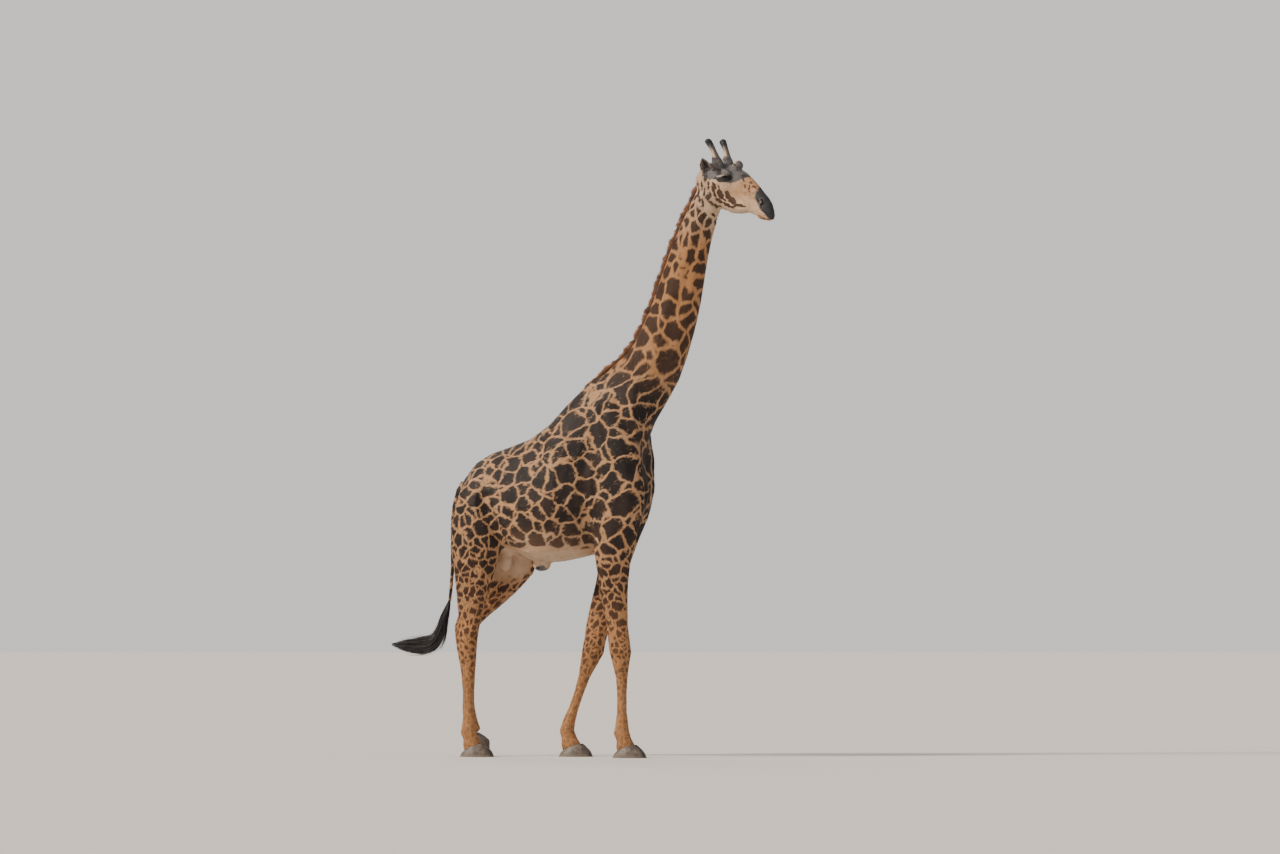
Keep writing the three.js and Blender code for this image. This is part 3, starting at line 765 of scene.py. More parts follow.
class Tint(Enum):
    """The coat's and the body's own colours, as linear red, green and blue; black and the grey of the spots
    also serve as painted shade.
    """

    PATCH_DARK = (0.0085, 0.0062, 0.0070)
    PATCH_BROWN = (0.036, 0.020, 0.015)
    RUST = (0.150, 0.052, 0.020)
    TAN = (0.460, 0.285, 0.160)
    ORANGE = (0.450, 0.210, 0.080)
    MANE = (0.330, 0.140, 0.062)
    CREAM = (0.620, 0.450, 0.310)
    GREY = (0.150, 0.138, 0.142)
    # Also the painted shade on the horns' front sides.
    GREY_SPOT = (0.030, 0.027, 0.031)
    # Also the painted shade round the eyes and in the ears' hollows.
    BLACK = (0.018, 0.016, 0.019)
    MUZZLE = (0.036, 0.036, 0.042)
    HOOF = (0.060, 0.045, 0.040)
    HOOF_EDGE = (0.150, 0.115, 0.085)
    IRIS = (0.030, 0.014, 0.008)
    PUPIL = (0.002, 0.002, 0.003)
    FLOOR = (0.640, 0.610, 0.585)


@dataclass(frozen=True)
class Value:
    """A number, vector or colour that one of a material's nodes gives, on which sums can be written."""

    graph: "Graph"
    socket: bpy.types.NodeSocket

    def __add__(self, other: "Feed") -> "Value":
        """Returns the two added."""
        return self.graph.math("ADD", self, other)

    def __sub__(self, other: "Feed") -> "Value":
        """Returns this less the other."""
        return self.graph.math("SUBTRACT", self, other)

    def __rsub__(self, other: "Feed") -> "Value":
        """Returns the other less this."""
        return self.graph.math("SUBTRACT", other, self)

    def __mul__(self, other: "Feed") -> "Value":
        """Returns the two multiplied."""
        return self.graph.math("MULTIPLY", self, other)

    def __truediv__(self, other: "Feed") -> "Value":
        """Returns this divided by the other."""
        return self.graph.math("DIVIDE", self, other)


Feed = Value | Tint | float | tuple[float, ...]


class Graph:
    """A material's node graph, written as short calls."""

    def __init__(self, name: str) -> None:
        """Starts an empty material of that name."""
        self.material = bpy.data.materials.new(name)
        self.material.use_nodes = True
        self.tree = self.material.node_tree
        self.tree.nodes.clear()
        output = self.tree.nodes.new("ShaderNodeOutputMaterial")
        self.shader = self.tree.nodes.new("ShaderNodeBsdfPrincipled")
        self.tree.links.new(self.shader.outputs["BSDF"], output.inputs["Surface"])

    def feed(self, socket: bpy.types.NodeSocket, value: Feed) -> None:
        """Links a socket to a value, or sets it to a number or colour."""
        if isinstance(value, Value):
            self.tree.links.new(value.socket, socket)
        elif isinstance(value, Tint):
            socket.default_value = (*value.value, 1.0)
        else:
            socket.default_value = value

    def node(self, kind: str, *values: Feed, **settings: str | bool) -> bpy.types.Node:
        """Returns a new node.

        Args:
            kind: the node's kind, after ShaderNode.
            values: what its first sockets are fed.
            settings: its own options, by name.
        """
        node = self.tree.nodes.new(f"ShaderNode{kind}")
        for name, setting in settings.items():
            setattr(node, name, setting)
        for socket, value in zip(node.inputs, values):
            self.feed(socket, value)
        return node

    def parts(self, vector: Feed) -> list[Value]:
        """Returns the three numbers of a vector."""
        return [Value(self, output) for output in self.node("SeparateXYZ", vector).outputs]

    def attribute(self, name: str) -> list[Value]:
        """Returns the three numbers of a stored attribute, and the whole vector after them."""
        whole = Value(self, self.node("Attribute", attribute_name=name).outputs["Vector"])
        return [*self.parts(whole), whole]

    def place(self, *scale: float) -> Value:
        """Returns the object's own coordinates, stretched along each axis."""
        return self.vector(
            "MULTIPLY", Value(self, self.node("TexCoord").outputs["Object"]), scale or (1.0, 1.0, 1.0)
        )

    def math(self, operation: str, *values: Feed, clamp: bool = False) -> Value:
        """Returns the result of one sum on numbers."""
        return Value(self, self.node("Math", *values, operation=operation, use_clamp=clamp).outputs[0])

    def vector(self, operation: str, *values: Feed) -> Value:
        """Returns the result of one sum on vectors."""
        node = self.node("VectorMath", *values, operation=operation)
        return Value(self, node.outputs["Value" if operation == "LENGTH" else "Vector"])

    def noise(
        self, place: Feed, scale: float, detail: float = 2.0, roughness: float = 0.5, output: str = "Fac"
    ) -> Value:
        """Returns cloudy noise between 0 and 1, or three such noises as a colour."""
        node = self.node("TexNoise", place)
        for name, number in (("Scale", scale), ("Detail", detail), ("Roughness", roughness)):
            node.inputs[name].default_value = number
        return Value(self, node.outputs[output])

    def sway(
        self, place: Feed, scale: float, amount: float, detail: float = 2.0, roughness: float = 0.5
    ) -> Value:
        """Returns cloudy noise about zero, the amount wide."""
        return (self.noise(place, scale, detail, roughness) - 0.5) * amount

    def shake(self, place: Feed, scale: float, amount: float, detail: float = 2.0) -> Value:
        """Returns places moved about by noise."""
        move = self.vector("SUBTRACT", self.noise(place, scale, detail, output="Color"), (0.5, 0.5, 0.5))
        return self.vector("ADD", place, self.vector("MULTIPLY", move, (amount, amount, amount)))

    def cells(self, place: Feed, scale: float, feature: str) -> Value:
        """Returns the distance that irregular cells give: to their edge, or to their middle with F1."""
        node = self.node("TexVoronoi", place, feature=feature)
        node.inputs["Scale"].default_value = scale
        return Value(self, node.outputs["Distance"])

    def step(self, value: Feed, low: Feed, high: Feed) -> Value:
        """Returns 0 where the value is low and 1 where it is high, smoothly."""
        return Value(
            self, self.node("MapRange", value, low, high, interpolation_type="SMOOTHSTEP").outputs["Result"]
        )

    def mix(self, share: Feed, first: Feed, second: Feed) -> Value:
        """Returns a colour between two colours."""
        node = self.node("Mix", share, data_type="RGBA")
        self.feed(node.inputs[6], first)
        self.feed(node.inputs[7], second)
        return Value(self, node.outputs[2])

    def tint(self, tint: Tint) -> Value:
        """Returns a tint as a value."""
        return self.mix(0.5, tint, tint)

    def brighten(self, colour: Value, share: Feed) -> Value:
        """Returns a colour made lighter or darker by a number."""
        node = self.node("VectorMath", colour, operation="SCALE")
        self.feed(node.inputs["Scale"], share)
        return Value(self, node.outputs["Vector"])

    def bump(self, height: Feed, strength: float, distance: float) -> None:
        """Gives the shader relief from a height."""
        node = self.node("Bump")
        for name, value in (("Strength", strength), ("Distance", distance), ("Height", height)):
            self.feed(node.inputs[name], value)
        self.feed(self.shader.inputs["Normal"], Value(self, node.outputs["Normal"]))

    def finish(self, colour: Feed, **constants: float) -> bpy.types.Material:
        """Sets the base colour and the shader's constants, and returns the material."""
        self.feed(self.shader.inputs["Base Color"], colour)
        for name, value in constants.items():
            self.feed(self.shader.inputs[name.replace("_", " ")], value)
        return self.material


def coat_colour(graph: Graph) -> Value:
    """Returns the colour of the coat's markings, read from a piece's stored shares."""
    *_, pat = graph.attribute("pat")
    gap, warm, pale, _ = graph.attribute("mk")
    fade, grey, dark, _ = graph.attribute("mk2")
    soft, spur, rust, _ = graph.attribute("mk3")
    spot, own, muzzle, _ = graph.attribute("mk4")
    place = graph.place()

    # Where the ground colour shows: between the cells, outside the head's own patches and along thin spurs.
    shaken = graph.shake(graph.shake(pat, 1.3, 0.55, 1.0), 7.0, 0.09)
    edge = graph.cells(shaken, 1.0, "DISTANCE_TO_EDGE") + graph.sway(pat, 22.0, 0.06)
    in_cell = edge - gap
    in_spot = spot + graph.sway(place, 75.0, 0.45, 3.0, 0.6)
    ground = graph.step(in_cell + (in_spot - in_cell) * own, soft, soft * -1.0)
    thorn_place = graph.shake(graph.shake(pat, 2.2, 0.30, 1.0), 9.0, 0.06)
    thorn = graph.cells(thorn_place, 3.1, "DISTANCE_TO_EDGE")
    picked = graph.step(graph.noise(pat, 2.4, 1.0), 0.46, 0.62)
    width = (1.0 - edge / 0.23) * 0.105 * spur * picked
    ground = graph.math("MAXIMUM", ground, graph.step(width - thorn, -0.012, 0.022) * 0.85)

    # The patches and the ground between them.
    tone = graph.step(graph.noise(pat, 0.9), 0.35, 0.75)
    patch = graph.mix(tone * 0.75, Tint.PATCH_DARK, Tint.PATCH_BROWN)
    patch = graph.mix((1.0 - graph.step(edge, 0.10, 0.45)) * 0.18, patch, Tint.PATCH_BROWN)
    patch = graph.mix(rust * 0.8, patch, Tint.RUST)
    warmth = graph.math("ADD", warm, graph.sway(pat, 1.7, 0.9), clamp=True)
    gaps = graph.mix(pale, graph.mix(warmth, Tint.TAN, Tint.ORANGE), Tint.CREAM)
    blotch = graph.step(graph.noise(graph.shake(place, 20.0, 0.03), 26.0, 3.0, 0.6), 0.46, 0.66)
    gaps = graph.mix(blotch * rust * 0.70, gaps, Tint.RUST)
    colour = graph.mix(ground, graph.mix(fade, patch, gaps), gaps)

    # The grey crown with its specks, the dark muzzle, and painted shade round the eyes and in the rear of the
    # ears' hollows.
    ragged = graph.sway(place, 42.0, 1.3, 4.0, 0.65) + graph.sway(place, 11.0, 0.7)
    grey = graph.step(grey + ragged * graph.step(grey, 0.0, 0.15), 0.35, 0.65)
    dark = graph.step(dark + ragged * graph.step(dark, 0.0, 0.15), 0.25, 0.85)
    speckle = graph.step(graph.cells(graph.shake(place, 30.0, 0.02), 85.0, "F1"), 0.36, 0.24)
    greys = graph.mix(speckle * 0.8, Tint.GREY, Tint.GREY_SPOT)
    greys = graph.mix(graph.step(graph.noise(place, 14.0), 0.42, 0.66), greys, Tint.GREY_SPOT)
    fleck = graph.step(graph.cells(graph.shake(place, 40.0, 0.015), 120.0, "F1"), 0.26, 0.16)
    fleck = fleck * graph.step(graph.noise(place, 7.0), 0.50, 0.62)
    greys = graph.mix(fleck * 0.7, greys, Tint.CREAM)
    colour = graph.mix(grey, colour, greys)
    colour = graph.mix(dark, colour, graph.mix(muzzle, Tint.BLACK, Tint.MUZZLE))

    streak = graph.noise(graph.place(1.0, 1.0, 0.35), 230.0, 3.0, 0.7)
    return graph.brighten(colour, streak * 0.45 + graph.noise(place, 9.0, 3.0) * 0.35 + 0.60)


@dataclass(frozen=True)
class SkinFinish:
    """Short flat fur seen as one surface: the markings' colours with a fine relief of hairs."""

    roughness: float = 0.66
    sheen: float = 0.05
    gloss: float = 0.28

    def make(self) -> bpy.types.Material:
        """Returns the skin's material."""
        graph = Graph("coat_skin")
        colour = coat_colour(graph)
        hairs = graph.noise(graph.place(1.0, 1.0, 0.3), 420.0, 2.0, 0.6)
        clumps = graph.noise(graph.place(1.0, 1.0, 0.4), 90.0, 2.0, 0.6)
        graph.bump(hairs + clumps, 0.55, 0.0016)
        return graph.finish(
            colour, Roughness=self.roughness, Specular_IOR_Level=self.gloss, Sheen_Weight=self.sheen
        )


@dataclass(frozen=True)
class TuftFinish:
    """Hairs of the coat: each tuft has the marking's colour at its root."""

    name: str = "coat_tufts"
    roughness: float = 0.58
    sheen: float = 0.05
    gloss: float = 0.28

    def make(self) -> bpy.types.Material:
        """Returns the tufts' material."""
        graph = Graph(self.name)
        strand = graph.noise(graph.place(), 520.0, 1.0)
        colour = graph.brighten(coat_colour(graph), strand * 0.45 + 0.80)
        graph.bump(graph.noise(graph.place(1.0, 1.0, 0.3), 600.0, 1.0), 0.3, 0.001)
        return graph.finish(
            colour, Roughness=self.roughness, Specular_IOR_Level=self.gloss, Sheen_Weight=self.sheen
        )


@dataclass(frozen=True)
class HairFinish:
    """Long hair of one kind, from a root colour to a tip colour with bands between."""

    name: str
    root: Tint
    tip: Tint
    band: Tint
    roughness: float = 0.45

    def make(self) -> bpy.types.Material:
        """Returns the hair's material."""
        graph = Graph(self.name)
        along, band, lock, _ = graph.attribute("hair")
        colour = graph.mix(graph.step(along, 0.2, 1.0), self.root, self.tip)
        colour = graph.mix(band, colour, self.band)
        fine = graph.noise(graph.place(1.0, 1.0, 0.5), 380.0, 2.0)
        graph.bump(fine, 0.3, 0.001)
        return graph.finish(graph.brighten(colour, fine * 0.5 + lock * 0.6 + 0.45), Roughness=self.roughness)


@dataclass(frozen=True)
class HoofFinish:
    """Horn of the hooves, ringed across and worn paler at the ground."""

    roughness: float = 0.52

    def make(self) -> bpy.types.Material:
        """Returns the hooves' material."""
        graph = Graph("hoof_horn")
        place = graph.place()
        _, _, z = graph.parts(place)
        rings = graph.noise(graph.place(0.15, 0.15, 1.0), 110.0, 3.0, 0.6)
        stain = graph.noise(place, 26.0, 4.0, 0.6)
        colour = graph.mix(graph.step(stain, 0.35, 0.7), Tint.HOOF, Tint.HOOF_EDGE)
        colour = graph.mix(graph.step(z, 0.030, 0.004), colour, Tint.HOOF_EDGE)
        graph.bump(rings + graph.noise(place, 240.0), 0.5, 0.0015)
        return graph.finish(graph.brighten(colour, rings * 0.8 + 0.6), Roughness=self.roughness)


@dataclass(frozen=True)
class EyeFinish:
    """A dark wet eye with a wide pupil, read from the eye's own stored places."""

    def make(self) -> bpy.types.Material:
        """Returns the eyes' material."""
        graph = Graph("eye_wet")
        _, _, out, whole = graph.attribute("eye")
        from_middle = graph.vector("LENGTH", graph.vector("MULTIPLY", whole, (1.55, 2.2, 0.0)))
        fibres = graph.noise(graph.vector("MULTIPLY", whole, (3.0, 3.0, 3.0)), 9.0, 4.0, 0.7)
        iris = graph.brighten(graph.tint(Tint.IRIS), fibres + 0.5)
        colour = graph.mix(graph.step(from_middle, 0.62, 0.78), Tint.PUPIL, iris)
        colour = graph.mix(graph.step(out, 0.62, 0.42), colour, Tint.BLACK)
        graph.bump(graph.noise(graph.place(), 60.0, 1.0), 0.02, 0.0005)
        return graph.finish(colour, Roughness=0.10, Coat_Weight=0.35, Coat_Roughness=0.03, IOR=1.33)


@dataclass(frozen=True)
class HornFinish:
    """Skin and short hair of the horns: pale at the foot, painted shade up the front side, black at the worn
    knob.
    """

    def make(self) -> bpy.types.Material:
        """Returns the horns' material."""
        graph = Graph("ossicone_skin")
        along, front, _, _ = graph.attribute("horn")
        mottle = graph.noise(graph.place(), 34.0, 3.0, 0.6)
        height = along + (mottle - 0.5) * 0.30
        colour = graph.mix(graph.step(height, 0.28, 0.78), Tint.CREAM, Tint.GREY)
        # Painted shade: the side that faces forwards and up is darkened.
        colour = graph.mix(graph.step(front, 0.0, 0.6) * 0.85, colour, Tint.GREY_SPOT)
        colour = graph.mix(graph.step(height, 0.62, 0.80), colour, Tint.BLACK)
        fine = graph.noise(graph.place(1.0, 1.0, 0.3), 420.0, 3.0, 0.6)
        graph.bump(fine + mottle, 0.6, 0.002)
        return graph.finish(graph.brighten(colour, fine * 0.6 + 0.65), Roughness=0.6)


@dataclass(frozen=True)
class FloorFinish:
    """A plain pale studio floor."""

    def make(self) -> bpy.types.Material:
        """Returns the floor's material."""
        graph = Graph("studio_floor")
        shade = graph.noise(graph.place(), 0.6, 3.0) * 0.06 + 0.97
        return graph.finish(graph.brighten(graph.tint(Tint.FLOOR), shade), Roughness=0.9)


# ---------------------------------------------------------------- skin


@dataclass(frozen=True)
class Swell:
    """A ridge or a groove along a line on the animal's side: its line, its height and how far it reaches."""

    line: tuple[tuple[float, float], ...]
    height: float
    reach: float
    facing: float = 0.35

    def lift(self, x: Array, z: Array, sideways: Array) -> Array:
        """Returns how far each point moves out.

        Args:
            x: how far forwards each point is.
            z: how high each point is.
            sideways: how far each point's normal turns to its own side, from -1 to 1.
        """
        near = from_line(np.array(self.line if len(self.line) > 1 else self.line * 2), x, z)
        return self.height * bell(near, 0.0, self.reach) * smooth(0.0, self.facing, sideways)


@dataclass(frozen=True)
class EyePlan:
    """Where the eyes sit and how the lids close round them, in the head's frame."""

    f: float = 0.020
    side: float = 0.098
    d: float = 0.020
    radius: float = 0.027
    gaze: tuple[float, float, float] = (0.26, 0.95, 0.10)
    slant: float = math.radians(30.0)
    length: float = 1.14
    upper: float = 0.58
    lower: float = 0.42
    lid: float = 0.0035

    def centre(self, side: float) -> Array:
        """Returns the eyeball's middle in the head's frame."""
        return np.array([self.f, side * self.side, self.d])

    def nearest(self, local: Array) -> Array:
        """Returns how far each point is from the nearer eye's middle."""
        return np.minimum(*(np.linalg.norm(local - self.centre(side), axis=1) for side in SIDES))

    def axes(self, side: float) -> Array:
        """Returns three rows: forwards along the lids, up across them, and out of the eye."""
        out = unit(np.array([self.gaze[0], side * self.gaze[1], self.gaze[2]]))
        ahead = np.array([math.cos(self.slant), 0.0, math.sin(self.slant)])
        ahead = unit(ahead - out * (ahead @ out))
        up = np.cross(out, ahead) * side * -1
        if up[2] < 0:
            up = -up
        return np.stack([ahead, up, out])

    def opening(self, across: Array, up: Array) -> Array:
        """Returns how far outside the lids' opening a direction is, in radians; it is negative inside."""
        share = np.clip(np.abs(across) / self.length, 0, 1)
        arch = (1 - share**2) ** 0.8
        top = self.upper * arch + 0.04 * across
        bottom = -self.lower * arch + 0.06 * across
        over = np.maximum(up - top, bottom - up)
        return np.maximum(over, np.abs(across) - self.length)


EYE = EyePlan()


@dataclass
class Skin:
    """The one skin: the solids blended together, with muscles, folds, lids, nostrils and mouth."""

    voxel: float = 0.0072
    grow: float = 0.002
    depth: float = 0.006
    face_depth: float = 0.0035
    rounds: int = 70
    keep_share: float = 0.190
    nodes: tuple[str, ...] = (
        "head", "lower_jaw", "neck_upper", "neck_lower", "trunk", "tail", "ear_left", "ear_right",
        "forearm_front_left", "forearm_front_right", "foreleg_front_left", "foreleg_front_right",
        "thigh_hind_left", "thigh_hind_right", "hind_shank_hind_left", "hind_shank_hind_right",
    )
    body_swells: tuple[Swell, ...] = (
        Swell(((0.47, 3.02), (0.60, 2.70), (0.78, 2.30)), 0.012, 0.07),
        Swell(((0.52, 2.55), (0.46, 2.20)), 0.014, 0.11),
        Swell(((0.335, 2.68), (0.326, 2.45)), -0.007, 0.030),
        Swell(((0.326, 2.38), (0.340, 2.22), (0.375, 2.05), (0.42, 1.90)), -0.017, 0.022),
        Swell(((0.372, 2.46), (0.385, 2.22), (0.420, 2.04)), 0.011, 0.026),
        Swell(((0.30, 2.10), (0.36, 1.90)), -0.012, 0.05),
        Swell(((0.86, 2.56),), 0.020, 0.09),
        Swell(((0.40, 1.96),), 0.016, 0.05),
        Swell(
            ((-0.55, 2.28), (-0.50, 2.18), (-0.445, 2.06), (-0.35, 1.93), (-0.27, 1.84), (-0.18, 1.76)),
            0.020, 0.030, 0.2,
        ),
        Swell(
            ((-0.61, 2.22), (-0.55, 2.08), (-0.49, 1.95), (-0.43, 1.82), (-0.36, 1.72)), -0.030, 0.045, 0.2
        ),
        Swell(((-0.46, 2.52),), 0.020, 0.075),
        Swell(((-0.84, 2.24),), 0.012, 0.06),
        Swell(((-0.70, 2.20), (-0.72, 1.75)), 0.010, 0.09),
        Swell(((-0.80, 2.15), (-0.82, 1.85), (-0.84, 1.55)), -0.008, 0.03),
        Swell(((0.22, 1.95), (-0.02, 2.02), (-0.28, 2.20)), 0.006, 0.05),
        Swell(((0.98, 3.26), (1.12, 3.80), (1.27, 4.25), (1.41, 4.62)), -0.008, 0.036),
        Swell(((0.86, 3.25), (1.03, 3.80), (1.20, 4.25), (1.34, 4.62)), 0.007, 0.050),
    )
    rib_first: float = -0.22
    rib_step: float = 0.078
    ribs: int = 7
    vertebrae: tuple[tuple[float, float], ...] = (
        (0.86, 3.42), (0.97, 3.70), (1.06, 3.97), (1.145, 4.22), (1.23, 4.46), (1.32, 4.69)
    )
    head_swells: tuple[Swell, ...] = (
        Swell(((-0.030, 0.062), (0.012, 0.066), (0.052, 0.052)), 0.009, 0.016, 0.2),
        Swell(((0.075, -0.020), (0.0, -0.030), (-0.075, -0.026)), 0.006, 0.016, 0.2),
        Swell(((-0.065, 0.045),), -0.007, 0.032),
        Swell(((-0.015, -0.120), (0.055, -0.165)), 0.008, 0.050),
        Swell(((0.130, -0.085), (0.20, -0.080)), -0.008, 0.036),
        Swell(((0.170, 0.050), (0.260, 0.058)), -0.005, 0.030),
        Swell(((0.080, -0.012), (0.190, -0.040), (0.290, -0.052)), 0.004, 0.016),
        Swell(((-0.020, -0.205),), 0.006, 0.035),
        Swell(((0.345, 0.030), (0.400, 0.045)), 0.004, 0.022),
        Swell(((0.060, -0.045), (0.150, -0.075), (0.260, -0.092)), 0.0045, 0.014),
        Swell(((0.075, -0.075), (0.160, -0.105), (0.250, -0.118)), -0.0045, 0.013),
        Swell(((0.120, -0.020), (0.220, -0.055), (0.330, -0.085)), -0.0030, 0.010),
    )
    throat_line: tuple[tuple[float, float], ...] = (
        (-0.060, -0.205), (0.0, -0.232), (0.070, -0.246), (0.150, -0.236)
    )
    throat_folds: int = 5
    fold_step: float = 0.030
    collar_top: float = 0.046
    collar_foot: float = 0.0500
    collar_neck: float = 0.0345
    collar_width: float = 0.0490
    collar_depth: float = 0.075

    def build(self) -> bpy.types.Object:
        """Returns the skin as one closed piece, lying inside the solids by the coat's depth."""
        mesh = self.blend_solids()
        LOG.info("skin blended: %d faces", len(mesh.polygons))
        mesh = self.thin(mesh)
        LOG.info("skin thinned: %d faces", len(mesh.polygons))
        mesh = self.refine(mesh)
        LOG.info("skin refined: %d faces", len(mesh.polygons))
        surface = Surface.read(mesh)
        self.shape_body(surface)
        self.shape_head(surface)
        self.open_ears(surface)
        self.close_lids(surface)
        self.sink(surface)
        surface.write(mesh)
        mesh.name = "skin"
        piece = link("skin", mesh)
        self.unwrap(piece)
        finished = Surface.read(mesh)
        MARKINGS.dress(mesh, finished.points, finished.normals())
        enter(piece, SkinFinish().make(), "coat", *self.nodes)
        return piece

    def blend_solids(self) -> bpy.types.Mesh:
        """Returns one mesh over the flesh with its facets and joins smoothed."""
        mesh = remeshed([*self.nodes, "eye_left", "eye_right"], self.grow, self.voxel, self.collars())
        with editing(mesh) as bm:
            bmesh.ops.triangulate(bm, faces=bm.faces[:])
        surface = Surface.read(mesh)
        straight = POSE.straighten(surface.points)
        limb = np.clip(sum(part.share(straight) for part in LIMBS), 0, 1)
        neck, head, _ = MARKINGS.shares(straight)
        weight = 1 - 0.35 * neck
        weight *= 1 - 0.85 * limb * smooth(2.0, 1.6, straight[:, 2])
        weight *= 1 - 0.93 * head
        local = POSE.to_head(straight)
        for side in SIDES:
            foot, _ = HORN.axis(side)
            weight = np.maximum(weight, 0.80 * smooth(0.125, 0.085, np.linalg.norm(local - foot, axis=1)))
        weight[straight[:, 0] < -0.93] *= 0.15
        start = surface.points.copy()
        surface.fill_creases(self.rounds, weight, 1.0)
        normals = surface.normals()
        sunk = np.minimum(((surface.points - start) * normals).sum(1), 0)
        surface.points -= normals * (sunk * 0.9)[:, None]
        surface.fill_creases(6, weight, 1.0)
        surface.write(mesh)
        return mesh

    def collars(self) -> bmesh.types.BMesh:
        """Returns the rolls of skin from which the two horns rise: a cone over a deep ball on each side."""
        bm = bmesh.new()
        for side in SIDES:
            foot, run = HORN.axis(side)
            way = Vector(np.diff(POSE.from_head(np.stack([foot, foot + run])), axis=0)[0]).normalized()
            turn = way.to_track_quat("Z", "Y").to_matrix().to_4x4()
            rises = (self.collar_top * 0.30, -self.collar_depth * 0.6)
            above, below = (Vector(POSE.from_head(foot + run * rise)[0]) for rise in rises)
            bmesh.ops.create_cone(
                bm, cap_ends=True, segments=32, radius1=self.collar_foot, radius2=self.collar_neck,
                depth=self.collar_top * 1.4, matrix=Matrix.Translation(above) @ turn,
            )
            shape = Matrix.Diagonal((self.collar_width, self.collar_width, self.collar_depth, 1.0))
            matrix = Matrix.Translation(below) @ turn @ shape
            bmesh.ops.create_uvsphere(bm, u_segments=32, v_segments=24, radius=1.0, matrix=matrix)
        return bm

    def thin(self, mesh: bpy.types.Mesh) -> bpy.types.Mesh:
        """Returns the mesh with larger triangles on the body, while the head stays as fine as it is."""
        piece = link("thinning", mesh)
        straight = POSE.straighten(Surface.read(mesh).points)
        _, head, _ = MARKINGS.shares(straight)
        group = piece.vertex_groups.new(name="thin")
        coarse = (head < 0.5) & (self.detail(POSE.to_head(straight)) < 0.05)
        group.add([int(i) for i in np.flatnonzero(coarse)], 1.0, "ADD")
        modifier = piece.modifiers.new("thin", "DECIMATE")
        modifier.ratio = self.keep_share
        modifier.vertex_group = "thin"
        return applied(piece)

    def refine(self, mesh: bpy.types.Mesh) -> bpy.types.Mesh:
        """Returns the mesh with small triangles round the eyes, the nostrils and the mouth."""
        with editing(mesh) as bm:
            for longest, least in ((0.0060, 0.1), (0.0036, 0.5)):
                bm.verts.ensure_lookup_table()
                close = self.detail(POSE.in_head(np.array([vert.co for vert in bm.verts]))) > least
                near = (edge for edge in bm.edges if all(close[vert.index] for vert in edge.verts))
                divide(bm, [edge for edge in near if edge.calc_length() > longest])
            bmesh.ops.collapse(bm, edges=[edge for edge in bm.edges if len(edge.link_faces) > 2], uvs=False)
            bmesh.ops.delete(bm, geom=[vert for vert in bm.verts if not vert.link_faces], context="VERTS")
        surface = Surface.read(mesh)
        close = self.detail(POSE.in_head(surface.points))
        surface.fill_creases(8, smooth(0.0, 0.5, close), 1.0)
        surface.write(mesh)
        return mesh

    def detail(self, local: Array) -> Array:
        """Returns how much fine detail each point of the head needs, from 0 to 1."""
        need = smooth(0.080, 0.030, EYE.nearest(local))
        f, y, d = local.T
        nose = np.hypot(f - 0.400, d - 0.015) + 0.4 * np.clip(np.abs(y) - 0.06, 0, None)
        need = np.maximum(need, smooth(0.075, 0.030, nose) * (np.abs(y) > 0.012))
        need = np.maximum(need, 0.45 * smooth(0.150, 0.110, np.hypot(f - 0.02, d + 0.280)))
        need = np.maximum(need, 0.6 * smooth(0.10, 0.07, np.hypot(f - 0.295, d + 0.055)) * (np.abs(y) > 0.02))
        lips = from_line(MOUTH, f, d)
        return np.maximum(need, 0.8 * smooth(0.055, 0.015, lips))

    def shape_body(self, surface: Surface) -> None:
        """Raises the muscles, ribs and joints of the body and cuts the folds between them."""
        straight = POSE.straighten(surface.points)
        normals = surface.normals()
        x, y, z = straight.T
        _, head, limbs = MARKINGS.shares(straight)
        outward = normals[:, 1] * np.sign(y)
        lift = np.zeros(len(x))
        body = smooth(1.55, 1.80, z) * (1 - head) * (x > -0.95)
        for swell in self.body_swells:
            lift += swell.lift(x, z, outward) * body
        for number in range(self.ribs):
            foot = self.rib_first + number * self.rib_step
            rib = Swell(((foot + 0.05, 2.72), (foot, 2.45), (foot - 0.06, 2.12)), 0.0045, 0.020)
            lift += rib.lift(x, z, outward) * body
        for place in self.vertebrae:
            lift += Swell((place,), 0.008, 0.060).lift(x, z, outward) * body
        breast = bell(x, 0.80, 0.10) * bell(np.abs(y), 0.10, 0.07) * bell(z, 2.12, 0.14)
        lift += 0.020 * breast * smooth(0.0, 0.5, normals[:, 0])
        between = bell(y, 0.0, 0.035) * bell(z, 2.25, 0.30) * (x > 0.6)
        lift -= 0.016 * between * smooth(0.2, 0.6, normals[:, 0])
        for limb, share in zip(LIMBS, limbs):
            lift += self.leg_relief(limb, share, straight, normals)
        surface.points += normals * lift[:, None]

    @staticmethod
    def leg_relief(limb: Limb, share: Array, p: Array, normals: Array) -> Array:
        """Returns the relief of one leg: tendons behind the bone and the knobs of the joints."""
        middle, half = limb.at(p[:, 2])
        ahead = (p[:, 0] - middle[:, 0]) / half[:, 0]
        z = p[:, 2]
        sideways = np.abs(normals[:, 1])
        top, joint = (0.80, 0.905) if limb.front else (0.95, 1.09)
        shank = smooth(0.22, 0.32, z) * smooth(top, top - 0.10, z)
        relief = -0.0060 * bell(ahead, -0.30, 0.16) * shank * smooth(0.2, 0.8, sideways)
        relief += 0.005 * bell(z, joint, 0.05) * smooth(0.3, 0.9, sideways)
        relief -= 0.006 * bell(z, joint + 0.02, 0.05) * bell(ahead, -0.45, 0.22) * sideways
        upper = smooth(joint + 0.15, joint + 0.35, z) * smooth(1.9, 1.6, z)
        relief -= 0.006 * bell(ahead, 0.05, 0.15) * upper * smooth(0.3, 0.9, sideways)
        backward = smooth(0.0, 0.8, -normals[:, 0])
        relief += (0.004 * bell(z, 0.215, 0.030) - 0.005 * bell(z, 0.15, 0.03)) * backward
        return relief * share

